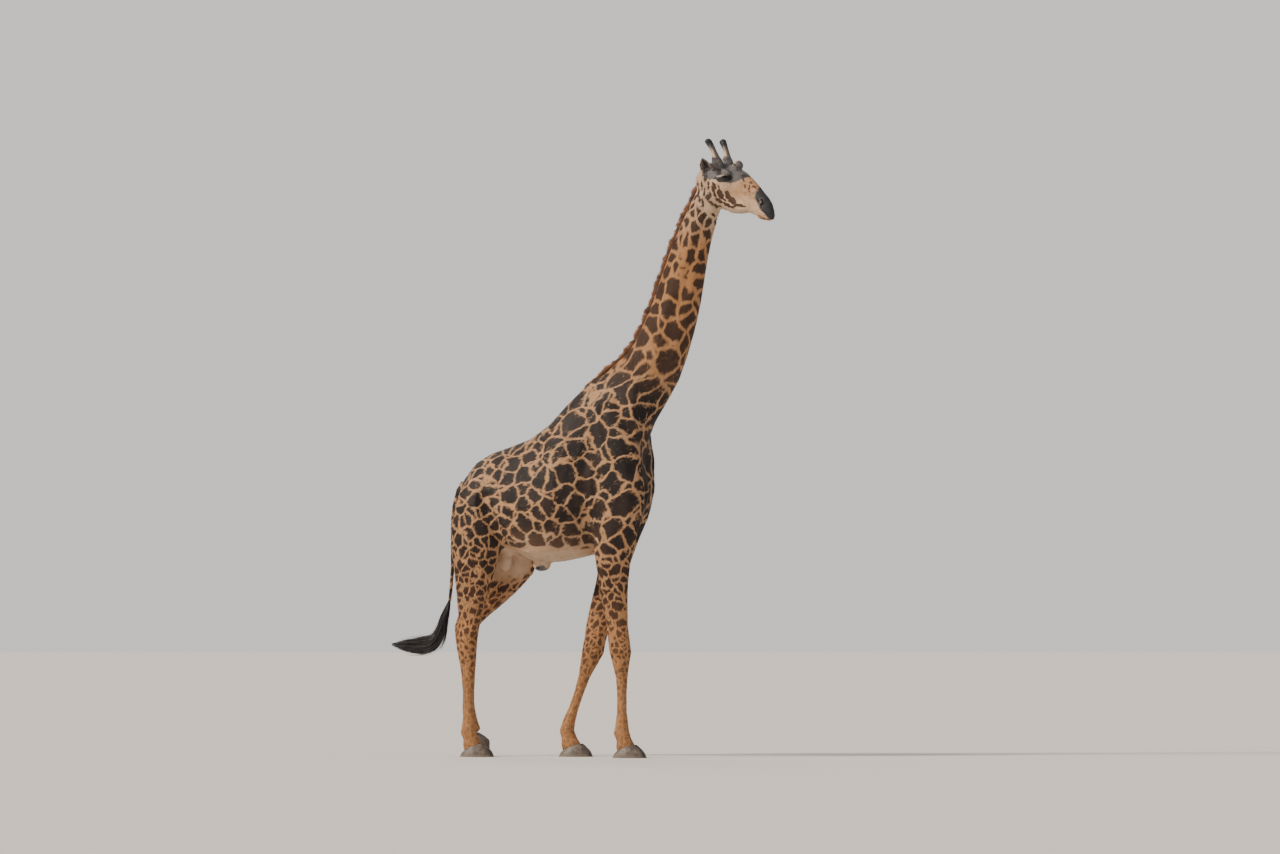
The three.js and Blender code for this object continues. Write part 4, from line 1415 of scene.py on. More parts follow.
    def shape_head(self, surface: Surface) -> None:
        """Raises brow, cheekbone and jaw muscle, and cuts the throat's folds, the mouth and the nostrils."""
        straight = POSE.straighten(surface.points)
        near = straight[:, 2] > 4.35
        f, y, d = POSE.to_head(straight).T
        normals = surface.normals()
        aside, ahead, up = (normals @ POSE.head_way(*way) for way in ((0, 1, 0), (1, 0, 0), (0, 0, 1)))
        outward = aside * np.sign(y)
        lift = np.zeros(len(f))
        for swell in self.head_swells:
            lift += swell.lift(f, d, outward) * near

        under = np.maximum(outward, 0.6 * np.clip(-up - 0.2, 0, 1) + 0.6 * np.clip(ahead, 0, 1))
        folds = np.zeros(len(f))
        for number in range(self.throat_folds):
            line = tuple((x, z - self.fold_step * number) for x, z in self.throat_line)
            folds += Swell(line, -0.0075, 0.0105, 0.1).lift(f, d, under)
        lift += folds * smooth(4.50, 4.62, straight[:, 2])

        mouth = from_line(MOUTH, f, d)
        slit = near * smooth(0.355, 0.375, f)
        lift += slit * (0.0022 * bell(mouth, 0.009, 0.005) - 0.0075 * bell(mouth, 0.0, 0.0036))
        lift += 0.003 * near * smooth(0.40, 0.45, f) * smooth(-0.075, -0.09, d)
        nostril = from_line(NOSTRIL, f, d)
        nose = near * smooth(0.010, 0.018, np.abs(y))
        lift += nose * (0.0032 * bell(nostril, 0.0120, 0.0050) - 0.0120 * bell(nostril, 0.0, 0.0054))
        lift -= 0.002 * near * bell(y, 0.0, 0.006) * smooth(0.50, 0.53, f) * smooth(-0.09, -0.05, d)

        wrinkles = np.sin((f * 0.9 + d * 0.35) * 2 * math.pi / 0.013)
        lift += 0.0003 * wrinkles * near * smooth(0.05, 0.015, np.abs(mouth - 0.02)) * smooth(0.36, 0.42, f)
        pleats = np.sin((d * 0.96 + f * 0.28) * 2 * math.pi / 0.0155 + 1.5 * np.sin(f * 40))
        corner = smooth(0.215, 0.26, f) * smooth(0.375, 0.335, f) * smooth(-0.115, -0.09, d)
        corner *= smooth(0.0, -0.03, d)
        lift += 0.0007 * pleats * corner * near * smooth(0.2, 0.6, outward)
        surface.points += normals * lift[:, None]

    def open_ears(self, surface: Surface) -> None:
        """Widens the ears and curls their rims forwards, so that each is a cup."""
        local = POSE.in_head(surface.points)
        near = np.zeros(len(local), bool)
        for side in SIDES:
            root, axes, length = EAR.axes(side)
            along, across, depth = ((local - root) @ axes.T).T
            share = smooth(0.25, 0.55, along / length) * smooth(0.104, 0.122, local[:, 1] * side)
            share *= smooth(0.078, 0.058, np.abs(across)) * smooth(0.060, 0.040, np.abs(depth))
            share *= smooth(-0.102, -0.126, local[:, 0])
            foot, run = HORN.axis(side)
            rise = np.clip((local - foot) @ run, -0.05, 0.09)
            share *= smooth(0.060, 0.082, np.linalg.norm(local - foot - np.outer(rise, run), axis=1))
            near = near | (share > 0)
            wider = across * 0.34 * smooth(1.25, 0.75, along / length)
            curl = 0.014 * np.clip(np.abs(across) / EAR.half_width, 0, 1.1) ** 2
            local += np.outer(wider * share, axes[1]) + np.outer(curl * share, axes[2])
        surface.points[near] = POSE.from_head(local[near])

    def close_lids(self, surface: Surface) -> None:
        """Moves the skin round each eye onto the globe, with an almond opening and a fold above it."""
        local = POSE.in_head(surface.points)
        for side in SIDES:
            centre, axes = EYE.centre(side), EYE.axes(side)
            away = local - centre
            reach = np.linalg.norm(away, axis=1)
            near = np.flatnonzero(reach < 0.075)
            ray = unit(away[near])
            across, up, out = (ray @ axes.T).T
            across, up = np.arctan2(across, np.maximum(out, 1e-3)), np.arcsin(np.clip(up, -1, 1))
            facing = smooth(0.0, 0.25, out)
            over = EYE.opening(across, up)
            level = np.where(up > 0, 1.0, 0.7)
            lid = EYE.radius + EYE.lid + 0.0015 * bell(over, 0.06, 0.07) * level
            lid += (0.0018 * bell(over, 0.42, 0.09) - 0.0022 * bell(over, 0.27, 0.07)) * level
            lid += 0.0007 * np.cos(over * 2 * math.pi / 0.15 + 2.2 * across) * smooth(0.30, 0.42, over)
            inside = EYE.radius - 0.006
            target = inside + (lid - inside) * smooth(-0.055, 0.03, over)
            hold = smooth(0.78, 0.36, over) * facing
            radius = reach[near] + (target - reach[near]) * hold
            local[near] = centre + ray * radius[:, None]
        moved = EYE.nearest(local) < 0.08
        surface.points[moved] = POSE.from_head(local[moved])

    def sink(self, surface: Surface) -> None:
        """Moves the skin inside the solids by the coat's depth, less on the face and not at the hooves."""
        straight = POSE.straighten(surface.points)
        _, head, _ = MARKINGS.shares(straight)
        depth = self.depth + (self.face_depth - self.depth) * head
        local = POSE.to_head(straight)
        depth *= smooth(0.030, 0.060, EYE.nearest(local))
        depth *= smooth(0.10, 0.22, straight[:, 2]) * 0.6 + 0.4
        surface.points -= surface.normals() * depth[:, None]

    @staticmethod
    def unwrap(piece: bpy.types.Object) -> None:
        """Gives the skin an unwrap of its own shape, which the coat's tufts share."""
        bpy.context.view_layer.objects.active = piece
        piece.select_set(True)
        piece.data.uv_layers.new(name="OFBake")
        bpy.ops.object.mode_set(mode="EDIT")
        bpy.ops.mesh.select_all(action="SELECT")
        bpy.ops.uv.smart_project(angle_limit=math.radians(66), island_margin=0.002)
        bpy.ops.object.mode_set(mode="OBJECT")
        piece.select_set(False)


# ---------------------------------------------------------------- eyes, horns and hooves


@dataclass
class Eyes:
    """Wet globes with a slightly bulging cornea, in place of the solid balls."""

    segments: int = 64
    rings: int = 40
    cornea: float = 0.0018

    def build(self) -> None:
        """Makes both eyes."""
        finish = EyeFinish().make()
        for side, word in ((1.0, "left"), (-1.0, "right")):
            mesh = bpy.data.meshes.new(f"eyeball_{word}")
            with editing(mesh) as bm:
                bmesh.ops.create_uvsphere(bm, u_segments=self.segments, v_segments=self.rings, radius=1.0)
            surface = Surface.read(mesh)
            ball = surface.points.copy()
            bulge = 1 + self.cornea / EYE.radius * smooth(0.55, 1.0, ball[:, 2])
            local = EYE.centre(side) + (ball * (EYE.radius * bulge)[:, None]) @ EYE.axes(side)
            surface.points = POSE.from_head(local)
            surface.write(mesh)
            with editing(mesh) as bm:
                bmesh.ops.recalc_face_normals(bm, faces=bm.faces[:])
            set_attribute(mesh, "eye", ball)
            enter(link(mesh.name, mesh), finish, "eye", f"eye_{word}")


@dataclass
class Horns:
    """The two ossicones, smoothed from their solids, with a knobbly worn end."""

    voxel: float = 0.0035
    rounds: int = 10
    knobs: int = 26
    lean: tuple[float, float] = (-0.146, 0.103)

    def build(self) -> list[tuple[Array, Array, Array]]:
        """Makes both horns and returns, for each, its points, its normals and how far up each point is."""
        grown = []
        finish = HornFinish().make()
        rng = np.random.default_rng(71)
        for word in ("left", "right"):
            node = f"ossicone_{word}"
            mesh = remeshed([node], 0.0, self.voxel)
            surface = Surface.read(mesh)
            surface.fill_creases(self.rounds, np.full(len(surface.points), 0.8), 1.0)
            local = POSE.in_head(surface.points)
            reach = local[:, [0, 2]] @ unit(np.array(self.lean))
            along = (reach - reach.min()) / (reach.max() - reach.min())
            normals = surface.normals()
            knobs = np.zeros(len(along))
            for _ in range(self.knobs):
                spot = surface.points[rng.integers(len(along))]
                near = np.linalg.norm(surface.points - spot, axis=1)
                knobs += rng.uniform(0.0006, 0.0018) * np.exp(-((near / rng.uniform(0.008, 0.016)) ** 2))
            surface.points += normals * (knobs - 0.002)[:, None]
            # How far each point faces forwards and up, which the material darkens as painted shade.
            front = normals @ POSE.head_way(0.55, 0.0, 0.83)
            surface.write(mesh)
            set_attribute(mesh, "horn", np.stack([along, front, 0 * along], 1))
            mesh.name = f"horn_{word}"
            enter(link(mesh.name, mesh), finish, "ossicone", node)
            grown.append((surface.points, surface.normals(), along))
        return grown


@dataclass
class Hooves:
    """Eight toes with rounded walls over flat soles."""

    ground: float = 0.0015
    rounds: int = 12
    longest: float = 0.012

    def build(self) -> None:
        """Makes each toe from its solid."""
        finish = HoofFinish().make()
        for node in sorted(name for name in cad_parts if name.startswith("hoof_")):
            mesh = bpy.data.meshes.new(node.replace("hoof", "horn_toe"))
            with editing(mesh) as bm:
                bm.from_mesh(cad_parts[node].data)
                bmesh.ops.remove_doubles(bm, verts=bm.verts[:], dist=1e-5)
                bmesh.ops.recalc_face_normals(bm, faces=bm.faces[:])
                for _ in range(3):
                    divide(bm, [edge for edge in bm.edges if edge.calc_length() > self.longest])
            surface = Surface.read(mesh)
            sole = surface.points[:, 2] < self.ground
            held = surface.points[sole].copy()
            surface.fill_creases(self.rounds, np.where(sole, 0.0, 0.7), 0.8)
            surface.points[sole] = held
            surface.points[~sole, 2] = np.maximum(surface.points[~sole, 2], 0.0004)
            surface.write(mesh)
            enter(link(mesh.name, mesh), finish, "hoof", node)


# ---------------------------------------------------------------- long hair


@dataclass
class Strands:
    """Many thin closed strands of hair in one mesh, each a three-sided tube that tapers to its tip."""

    name: str
    segments: int = 6
    rings: list[Array] = field(default_factory=list)
    looks: list[Array] = field(default_factory=list)

    def add(self, paths: Array, radius: Array, flat: Array, look: Array) -> None:
        """Adds strands.

        Args:
            paths: for each strand its points from root to tip, as strands by points by three.
            radius: each strand's half width at its root.
            flat: for each strand the direction that its thin side faces.
            look: for each strand its band and lock shades.
        """
        count, steps, _ = paths.shape
        along = np.linspace(0, 1, steps)
        taper = np.clip(1 - along**2.2, 0.04, 1)
        run = unit(np.gradient(paths, axis=1))
        thin = unit(flat[:, None, :] - run * (flat[:, None, :] * run).sum(2, keepdims=True))
        wide = np.cross(run, thin)
        size = radius[:, None] * taper[None, :]
        corners = [
            paths + wide * size[..., None], paths + thin * (0.55 * size)[..., None],
            paths - wide * size[..., None],
        ]
        self.rings.append(np.stack(corners, 2).reshape(count, -1, 3))
        shades = np.zeros((count, steps, 3, 3))
        shades[..., 0] = along[None, :, None]
        shades[..., 1] = look[:, 0, None, None]
        shades[..., 2] = look[:, 1, None, None]
        self.looks.append(shades.reshape(count, -1, 3))

    def build(self, finish: bpy.types.Material, slot: str, *replaced: str) -> bpy.types.Object:
        """Returns the strands as one piece.

        Args:
            finish: the hair's material.
            slot: the frame's word for what it is made of.
            replaced: the solids that it takes the place of.
        """
        points = np.concatenate(self.rings)
        looks = np.concatenate(self.looks)
        count, each, _ = points.shape
        steps = each // 3
        one = []
        for level in range(steps - 1):
            for corner in range(3):
                a, b = 3 * level + corner, 3 * level + (corner + 1) % 3
                one += [(a, b, b + 3), (a, b + 3, a + 3)]
        one += [(0, 2, 1), (each - 3, each - 2, each - 1)]
        faces = (np.array(one)[None] + each * np.arange(count)[:, None, None]).reshape(-1, 3)
        mesh = joined_mesh(self.name, points.reshape(-1, 3), faces)
        set_attribute(mesh, "hair", looks.reshape(-1, 3))
        piece = link(self.name, mesh)
        enter(piece, finish, slot, *replaced)
        return piece


def joined_mesh(name: str, points: Array, faces: Array) -> bpy.types.Mesh:
    """Returns one mesh of many small things from arrays of points and triangles."""
    mesh = bpy.data.meshes.new(name)
    mesh.vertices.add(len(points))
    mesh.vertices.foreach_set("co", np.ascontiguousarray(points, np.float32).ravel())
    mesh.loops.add(faces.size)
    mesh.loops.foreach_set("vertex_index", np.ascontiguousarray(faces, np.int32).ravel())
    mesh.polygons.add(len(faces))
    mesh.polygons.foreach_set("loop_start", np.arange(0, faces.size, 3, dtype=np.int32))
    mesh.polygons.foreach_set("use_smooth", np.ones(len(faces), bool))
    mesh.update(calc_edges=True)
    return mesh


def bake_places(mesh: bpy.types.Mesh, roots: Array, loops_each: int, patch: float = 0.003) -> None:
    """Gives a piece its OFBake map: each small thing is a patch at its root's place on the skin's unwrap.

    Args:
        mesh: the piece's mesh, whose things follow each other with equally many triangles.
        roots: each root's place on the skin's unwrap.
        loops_each: how many triangle corners each thing has.
        patch: how wide the patch is.
    """
    layer = mesh.uv_layers.new(name="OFBake")
    corner = np.array([(0.0, 0.0), (1.0, 0.0), (0.5, 1.0)]) - 0.5
    spots = np.tile(corner, (loops_each // 3, 1)) * patch
    places = np.clip(roots, patch, 1 - patch)[:, None, :] + spots[None]
    layer.data.foreach_set("uv", places.astype(np.float32).ravel())


@dataclass
class SkinMap:
    """The skin as a place to root hair on: its tree of faces, its normals and its unwrap."""

    piece: bpy.types.Object
    surface: Surface = field(init=False)
    corner_uv: Array = field(init=False)
    tree: BVHTree = field(init=False)

    def __post_init__(self) -> None:
        """Reads the skin's mesh."""
        self.surface = Surface.read(self.piece.data)
        mesh = self.piece.data
        uv = np.empty(len(mesh.loops) * 2)
        mesh.uv_layers["OFBake"].data.foreach_get("uv", uv)
        loops = np.empty(len(mesh.loop_triangles) * 3, np.int64)
        mesh.loop_triangles.foreach_get("loops", loops)
        self.corner_uv = uv.reshape(-1, 2)[loops].reshape(-1, 3, 2)
        self.tree = BVHTree.FromPolygons(self.surface.points.tolist(), self.surface.faces.tolist())

    def nearest(self, points: Array) -> Array:
        """Returns the place on the skin nearest to each point."""
        return np.array([self.tree.find_nearest(Vector(point))[0] for point in points])

    def nearest_uv(self, points: Array) -> Array:
        """Returns the unwrap's place of the skin nearest to each point."""
        rows = [self.tree.find_nearest(Vector(point))[2] for point in points]
        return self.corner_uv[np.array(rows)].mean(1)


@dataclass
class Mane:
    """Short stiff hair along the crest of the neck, rusty with dark bands."""

    crest: tuple[tuple[float, float], ...] = (
        (0.225, 3.180), (0.345, 3.262), (0.535, 3.405), (0.652, 3.520), (0.736, 3.660), (0.792, 3.770),
        (0.862, 3.935), (0.928, 4.110), (1.018, 4.340), (1.121, 4.560), (1.212, 4.735), (1.305, 4.900),
        (1.370, 5.010), (1.392, 5.070),
    )
    count: int = 6800
    rise: float = 0.060
    half_width: float = 0.019
    band: float = 0.118

    def build(self, skin: SkinMap) -> None:
        """Makes the mane's hair, rooted on the skin's crest."""
        rng = np.random.default_rng(11)
        line = np.array(self.crest)
        steps = np.hypot(*np.diff(line, axis=0).T)
        length = np.concatenate([[0], np.cumsum(steps)])
        s = rng.uniform(0, length[-1], self.count)
        x, z = np.interp(s, length, line[:, 0]), np.interp(s, length, line[:, 1])
        before, after = (
            np.stack([np.interp(s + step, length, axis) for axis in line.T], 1) for step in (-0.03, 0.03)
        )
        run = unit(after - before)
        y = self.half_width * rng.uniform(-1, 1, self.count)
        ends = smooth(0.0, 0.30, s) * smooth(length[-1], length[-1] - 0.10, s)
        outward = np.stack([-run[:, 1], y * 0, run[:, 0]], 1)
        forward = np.stack([run[:, 0], y * 0, run[:, 1]], 1)
        root = np.stack([x, y, z], 1) - outward * 0.020
        height = 0.020 + self.rise * rng.uniform(0.72, 1.05, self.count) * (0.35 + 0.65 * ends)
        height *= 1 - 0.25 * (y / self.half_width) ** 2
        lock = np.sin(s / 0.021) * 0.5 + 0.5 * np.sin(s / 0.0083 + 2.0)
        ragged = 0.5 * np.sin(s / 0.034 + 1.4 * np.sin(s * 9)) + 0.3 * np.sin(s / 0.0127)
        height *= 0.84 + 0.20 * ragged * ends - 0.20 * smooth(1.0, 0.2, s)
        lean = -0.22 + 0.10 * lock + rng.normal(0, 0.07, self.count)
        splay = 2.6 * y / self.half_width * 0.10 + rng.normal(0, 0.05, self.count)
        t = np.linspace(0, 1, 5)[None, :, None]
        way = outward[:, None] + forward[:, None] * (lean[:, None, None] * t)
        way = way + np.array([0, 1, 0]) * (splay[:, None, None] * (1 - 0.8 * t))
        paths = root[:, None] + way * (height[:, None, None] * t)
        paths = POSE.place(paths.reshape(-1, 3)).reshape(paths.shape)
        wander = np.sin(s / self.band * 2 * math.pi + 1.9 * np.sin(s * 5.1) + 1.1 * np.sin(s * 11.7))
        wander += 0.5 * np.sin(s * 23.0)
        band = 0.60 * smooth(0.1, 0.9, wander + rng.normal(0, 0.35, self.count))
        strands = Strands("mane_hair")
        flat = np.stack(
            [rng.normal(0, 0.3, self.count), np.ones(self.count), rng.normal(0, 0.3, self.count)], 1
        )
        width = rng.uniform(0.0018, 0.0034, self.count)
        strands.add(paths, width, flat, np.stack([band, rng.uniform(0, 1, self.count)], 1))
        finish = HairFinish("mane_hair", Tint.RUST, Tint.MANE, Tint.PATCH_BROWN)
        piece = strands.build(finish.make(), "mane", "mane")
        bake_places(piece.data, skin.nearest_uv(POSE.place(root)), len(piece.data.loops) // self.count)


@dataclass
class TailTuft:
    """Long black hair at the end of the tail, blown back in curved locks."""

    path: tuple[tuple[float, float, float], ...] = (
        (-1.005, 0.000, 1.400), (-1.010, -0.002, 1.335), (-1.028, -0.005, 1.280), (-1.052, -0.010, 1.195),
        (-1.073, -0.018, 1.100), (-1.104, -0.026, 1.012), (-1.162, -0.034, 0.956), (-1.250, -0.042, 0.940),
        (-1.346, -0.050, 0.944), (-1.442, -0.057, 0.952), (-1.520, -0.062, 0.960),
    )
    deep: tuple[float, ...] = (0.012, 0.019, 0.036, 0.052, 0.062, 0.070, 0.080, 0.078, 0.060, 0.036, 0.008)
    wide: tuple[float, ...] = (0.012, 0.018, 0.034, 0.048, 0.054, 0.055, 0.050, 0.042, 0.032, 0.020, 0.006)
    locks: int = 110
    hairs: int = 13

    def build(self, skin: SkinMap) -> None:
        """Makes the tuft's locks of hair."""
        rng = np.random.default_rng(23)
        middle = np.array(self.path)
        steps = 15
        count = self.locks * self.hairs
        lock = np.repeat(np.arange(self.locks), self.hairs)
        start = rng.uniform(0.0, 0.40, self.locks)[lock] + rng.uniform(-0.02, 0.02, count)
        end = np.clip(
            start + rng.uniform(0.42, 0.85, self.locks)[lock] + rng.uniform(-0.08, 0.08, count), 0.3, 1.0
        )
        start = np.clip(start, 0, 1)[:, None]
        t = start + (end[:, None] - start) * np.linspace(0, 1, steps)[None]
        knots = np.linspace(0, 1, len(middle))
        base = np.stack([np.interp(t, knots, middle[:, k]) for k in range(3)], 2)
        for _ in range(2):
            base[:, 1:-1] = (base[:, :-2] + 2 * base[:, 1:-1] + base[:, 2:]) / 4
        deep, wide = np.interp(t, knots, self.deep), np.interp(t, knots, self.wide)
        angle = rng.uniform(0, 2 * math.pi, self.locks)[lock]
        off = 0.94 * np.sqrt(rng.uniform(0.02, 1, self.locks))[lock]
        within = rng.normal(0, 0.10, (count, 2))
        run = unit(np.gradient(base, axis=1))
        side = unit(np.cross(run, np.array([0.0, 1.0, 0.0])))
        level = np.cross(run, side)
        grow = np.linspace(0, 1, steps)[None] ** 0.55
        loose = 1.12 + 0.5 * (rng.uniform(0, 1, count) < 0.06)[:, None] * np.linspace(0, 1, steps)[None] ** 2
        a = (off * np.cos(angle) + within[:, 0])[:, None] * deep * grow * loose
        b = (off * np.sin(angle) + within[:, 1])[:, None] * wide * grow * loose
        wave = 0.006 * np.sin(t * rng.uniform(9, 16, self.locks)[lock][:, None] + angle[:, None]) * grow
        paths = base + side * (a + wave)[..., None] + level * b[..., None]
        paths = POSE.place(paths.reshape(-1, 3)).reshape(paths.shape)
        strands = Strands("tail_hair")
        flat = rng.normal(0, 1, (count, 3))
        width = rng.uniform(0.0020, 0.0040, count)
        strands.add(paths, width, flat, np.stack([0 * off, rng.uniform(0, 1, count)], 1))
        finish = HairFinish("tail_hair", Tint.BLACK, Tint.GREY_SPOT, Tint.BLACK, 0.36)
        piece = strands.build(finish.make(), "tail_hair", "tail_tuft")
        bake_places(piece.data, skin.nearest_uv(paths[:, 0]), len(piece.data.loops) // count)


@dataclass
class FaceHair:
    """The head's longer hairs: lashes, a black ring round each horn's end, the ears' fringe and bristles."""

    lashes: int = 150
    ring: int = 520
    fringe: int = 520
    bristles: int = 130

    def build(self, skin: SkinMap, horns: list[tuple[Array, Array, Array]]) -> None:
        """Makes the dark hairs and the pale ones as two pieces."""
        rng = np.random.default_rng(41)
        dark, pale = Strands("dark_face_hair"), Strands("pale_face_hair")
        dark_roots, pale_roots = [], []
        for horn in horns:
            dark_roots.append(self.add_ring(dark, horn, rng))
        for side in SIDES:
            dark_roots.append(self.add_lashes(dark, side, rng))
            pale_roots.append(self.add_fringe(pale, side, skin, rng))
        dark_roots.append(self.add_bristles(dark, skin, rng))
        for strands, roots, finish in (
            (dark, dark_roots, HairFinish("dark_face_hair", Tint.BLACK, Tint.BLACK, Tint.BLACK)),
            (pale, pale_roots, HairFinish("pale_face_hair", Tint.CREAM, Tint.CREAM, Tint.GREY)),
        ):
            piece = strands.build(finish.make(), "coat")
            places = np.concatenate(roots)
            bake_places(piece.data, skin.nearest_uv(places), len(piece.data.loops) // len(places))

    @staticmethod
    def grow(
        strands: Strands, root: Array, way: Array, bend: Array, length: Array, width: Array,
        rng: np.random.Generator,
    ) -> Array:
        """Adds curved hairs given in the head's frame, and returns their roots in the model.

        Args:
            strands: the piece that they join.
            root: where each hair grows.
            way: which way it starts.
            bend: which way it curves.
            length: how long it is.
            width: its half width at the root.
            rng: the source of chance.
        """
        t = np.linspace(0, 1, 5)[None, :, None]
        paths = root[:, None] + (unit(way)[:, None] * t + bend[:, None] * t**2) * length[:, None, None]
        placed = POSE.from_head(paths.reshape(-1, 3)).reshape(paths.shape)
        count = len(root)
        flat = rng.normal(0, 1, (count, 3))
        strands.add(placed, width, flat, np.stack([np.zeros(count), rng.uniform(0, 1, count)], 1))
        return placed[:, 0]

    def add_lashes(self, strands: Strands, side: float, rng: np.random.Generator) -> Array:
        """Adds the lashes of one eye along the rim of its upper lid, and a few below."""
        count = self.lashes
        lower = rng.uniform(0, 1, count) < 0.22
        across = rng.uniform(-0.92, 0.92, count) * EYE.length
        share = 1 - (across / EYE.length) ** 2
        arch = share**0.8
        rim = np.where(lower, -EYE.lower * arch + 0.06 * across, EYE.upper * arch + 0.04 * across)
        up = rim + rng.normal(0, 0.02, count)
        ahead, above, _ = EYE.axes(side)
        turned = np.stack([np.sin(across) * np.cos(up), np.sin(up), np.cos(across) * np.cos(up)], 1)
        ray = unit(turned @ EYE.axes(side))
        root = EYE.centre(side) + ray * (EYE.radius + 0.0035)
        sign = np.where(lower, -0.35, 0.25)[:, None]
        way = ray + above * sign + np.outer(across * 0.35, ahead) + rng.normal(0, 0.08, (count, 3))
        bend = np.outer(np.where(lower, -0.25, -0.55), above) + np.outer(-0.25 + 0 * across, ahead)
        length = np.where(lower, 0.014, 0.034 * (0.55 + 0.45 * share)) * rng.uniform(0.8, 1.15, count)
        return self.grow(strands, root, way, bend, length, np.full(count, 0.0008), rng)

    def add_ring(self, strands: Strands, horn: tuple[Array, Array, Array], rng: np.random.Generator) -> Array:
        """Adds the ring of black hair round the end of one horn."""
        points, normals, along = horn
        able = np.flatnonzero((along > 0.66) & (along < 0.95))
        chosen = rng.choice(able, self.ring)
        root = POSE.in_head(points[chosen] - normals[chosen] * 0.001)
        far = POSE.in_head(points[chosen] + normals[chosen] * 0.05)
        out = unit(far - root)
        run = HORN.axis(1.0)[1] * (1, 0, 1)
        run = run + np.array([0, 0.18, 0]) * np.sign(root[:, 1:2])
        way = out * 0.26 + run + rng.normal(0, 0.10, (self.ring, 3))
        length = rng.uniform(0.006, 0.012, self.ring) * (1.15 - 0.4 * (along[chosen] > 0.88))
        return self.grow(strands, root, way, -0.12 * out, length, np.full(self.ring, 0.0011), rng)

    def add_fringe(self, strands: Strands, side: float, skin: SkinMap, rng: np.random.Generator) -> Array:
        """Adds pale hair inside one ear and along its rim."""
        count = self.fringe
        ear_root, (run, across, hollow), ear_length = EAR.axes(side)
        s = rng.uniform(0.30, 0.92, count)
        half = EAR.half_width * np.sin(np.pi * np.clip(s, 0, 1) ** 0.8) ** 0.7
        edge = np.where(rng.uniform(0, 1, count) < 0.5, 1.0, -1.0)
        place = edge * half * rng.uniform(0.40, 1.0, count)
        cup = 0.020 * (place / EAR.half_width) ** 2
        guess = ear_root + np.stack([s * ear_length, place, cup - 0.004], 1) @ np.stack([run, across, hollow])
        root = POSE.in_head(skin.nearest(POSE.from_head(guess)))
        way = hollow * 0.35 - np.outer(edge * 0.35, across) + run * 0.9 + rng.normal(0, 0.22, (count, 3))
        length = rng.uniform(0.008, 0.020, count)
        return self.grow(strands, root, way, -0.2 * hollow + 0 * root, length, np.full(count, 0.0006), rng)

    def add_bristles(self, strands: Strands, skin: SkinMap, rng: np.random.Generator) -> Array:
        """Adds the sparse bristles of the chin and the lips."""
        count = self.bristles
        f = rng.uniform(0.42, 0.53, count)
        side = np.where(rng.uniform(0, 1, count) < 0.5, 1.0, -1.0)
        below = rng.uniform(0, 1, count) < 0.6
        off_lip = np.where(below, -rng.uniform(0.008, 0.03, count), rng.uniform(0.01, 0.05, count))
        guess = np.stack([f, side * 0.06, np.interp(f, MOUTH[:, 0], MOUTH[:, 1]) + off_lip], 1)
        root = POSE.in_head(skin.nearest(POSE.from_head(guess)))
        way = np.stack([0.25 + 0 * f, side, np.where(below, -0.9, -0.2)], 1) + rng.normal(0, 0.15, (count, 3))
        length = rng.uniform(0.010, 0.024, count)
        bend = np.tile([0.0, 0.0, -0.25], (count, 1))
        return self.grow(strands, root, way, bend, length, np.full(count, 0.0005), rng)


# ---------------------------------------------------------------- the short coat


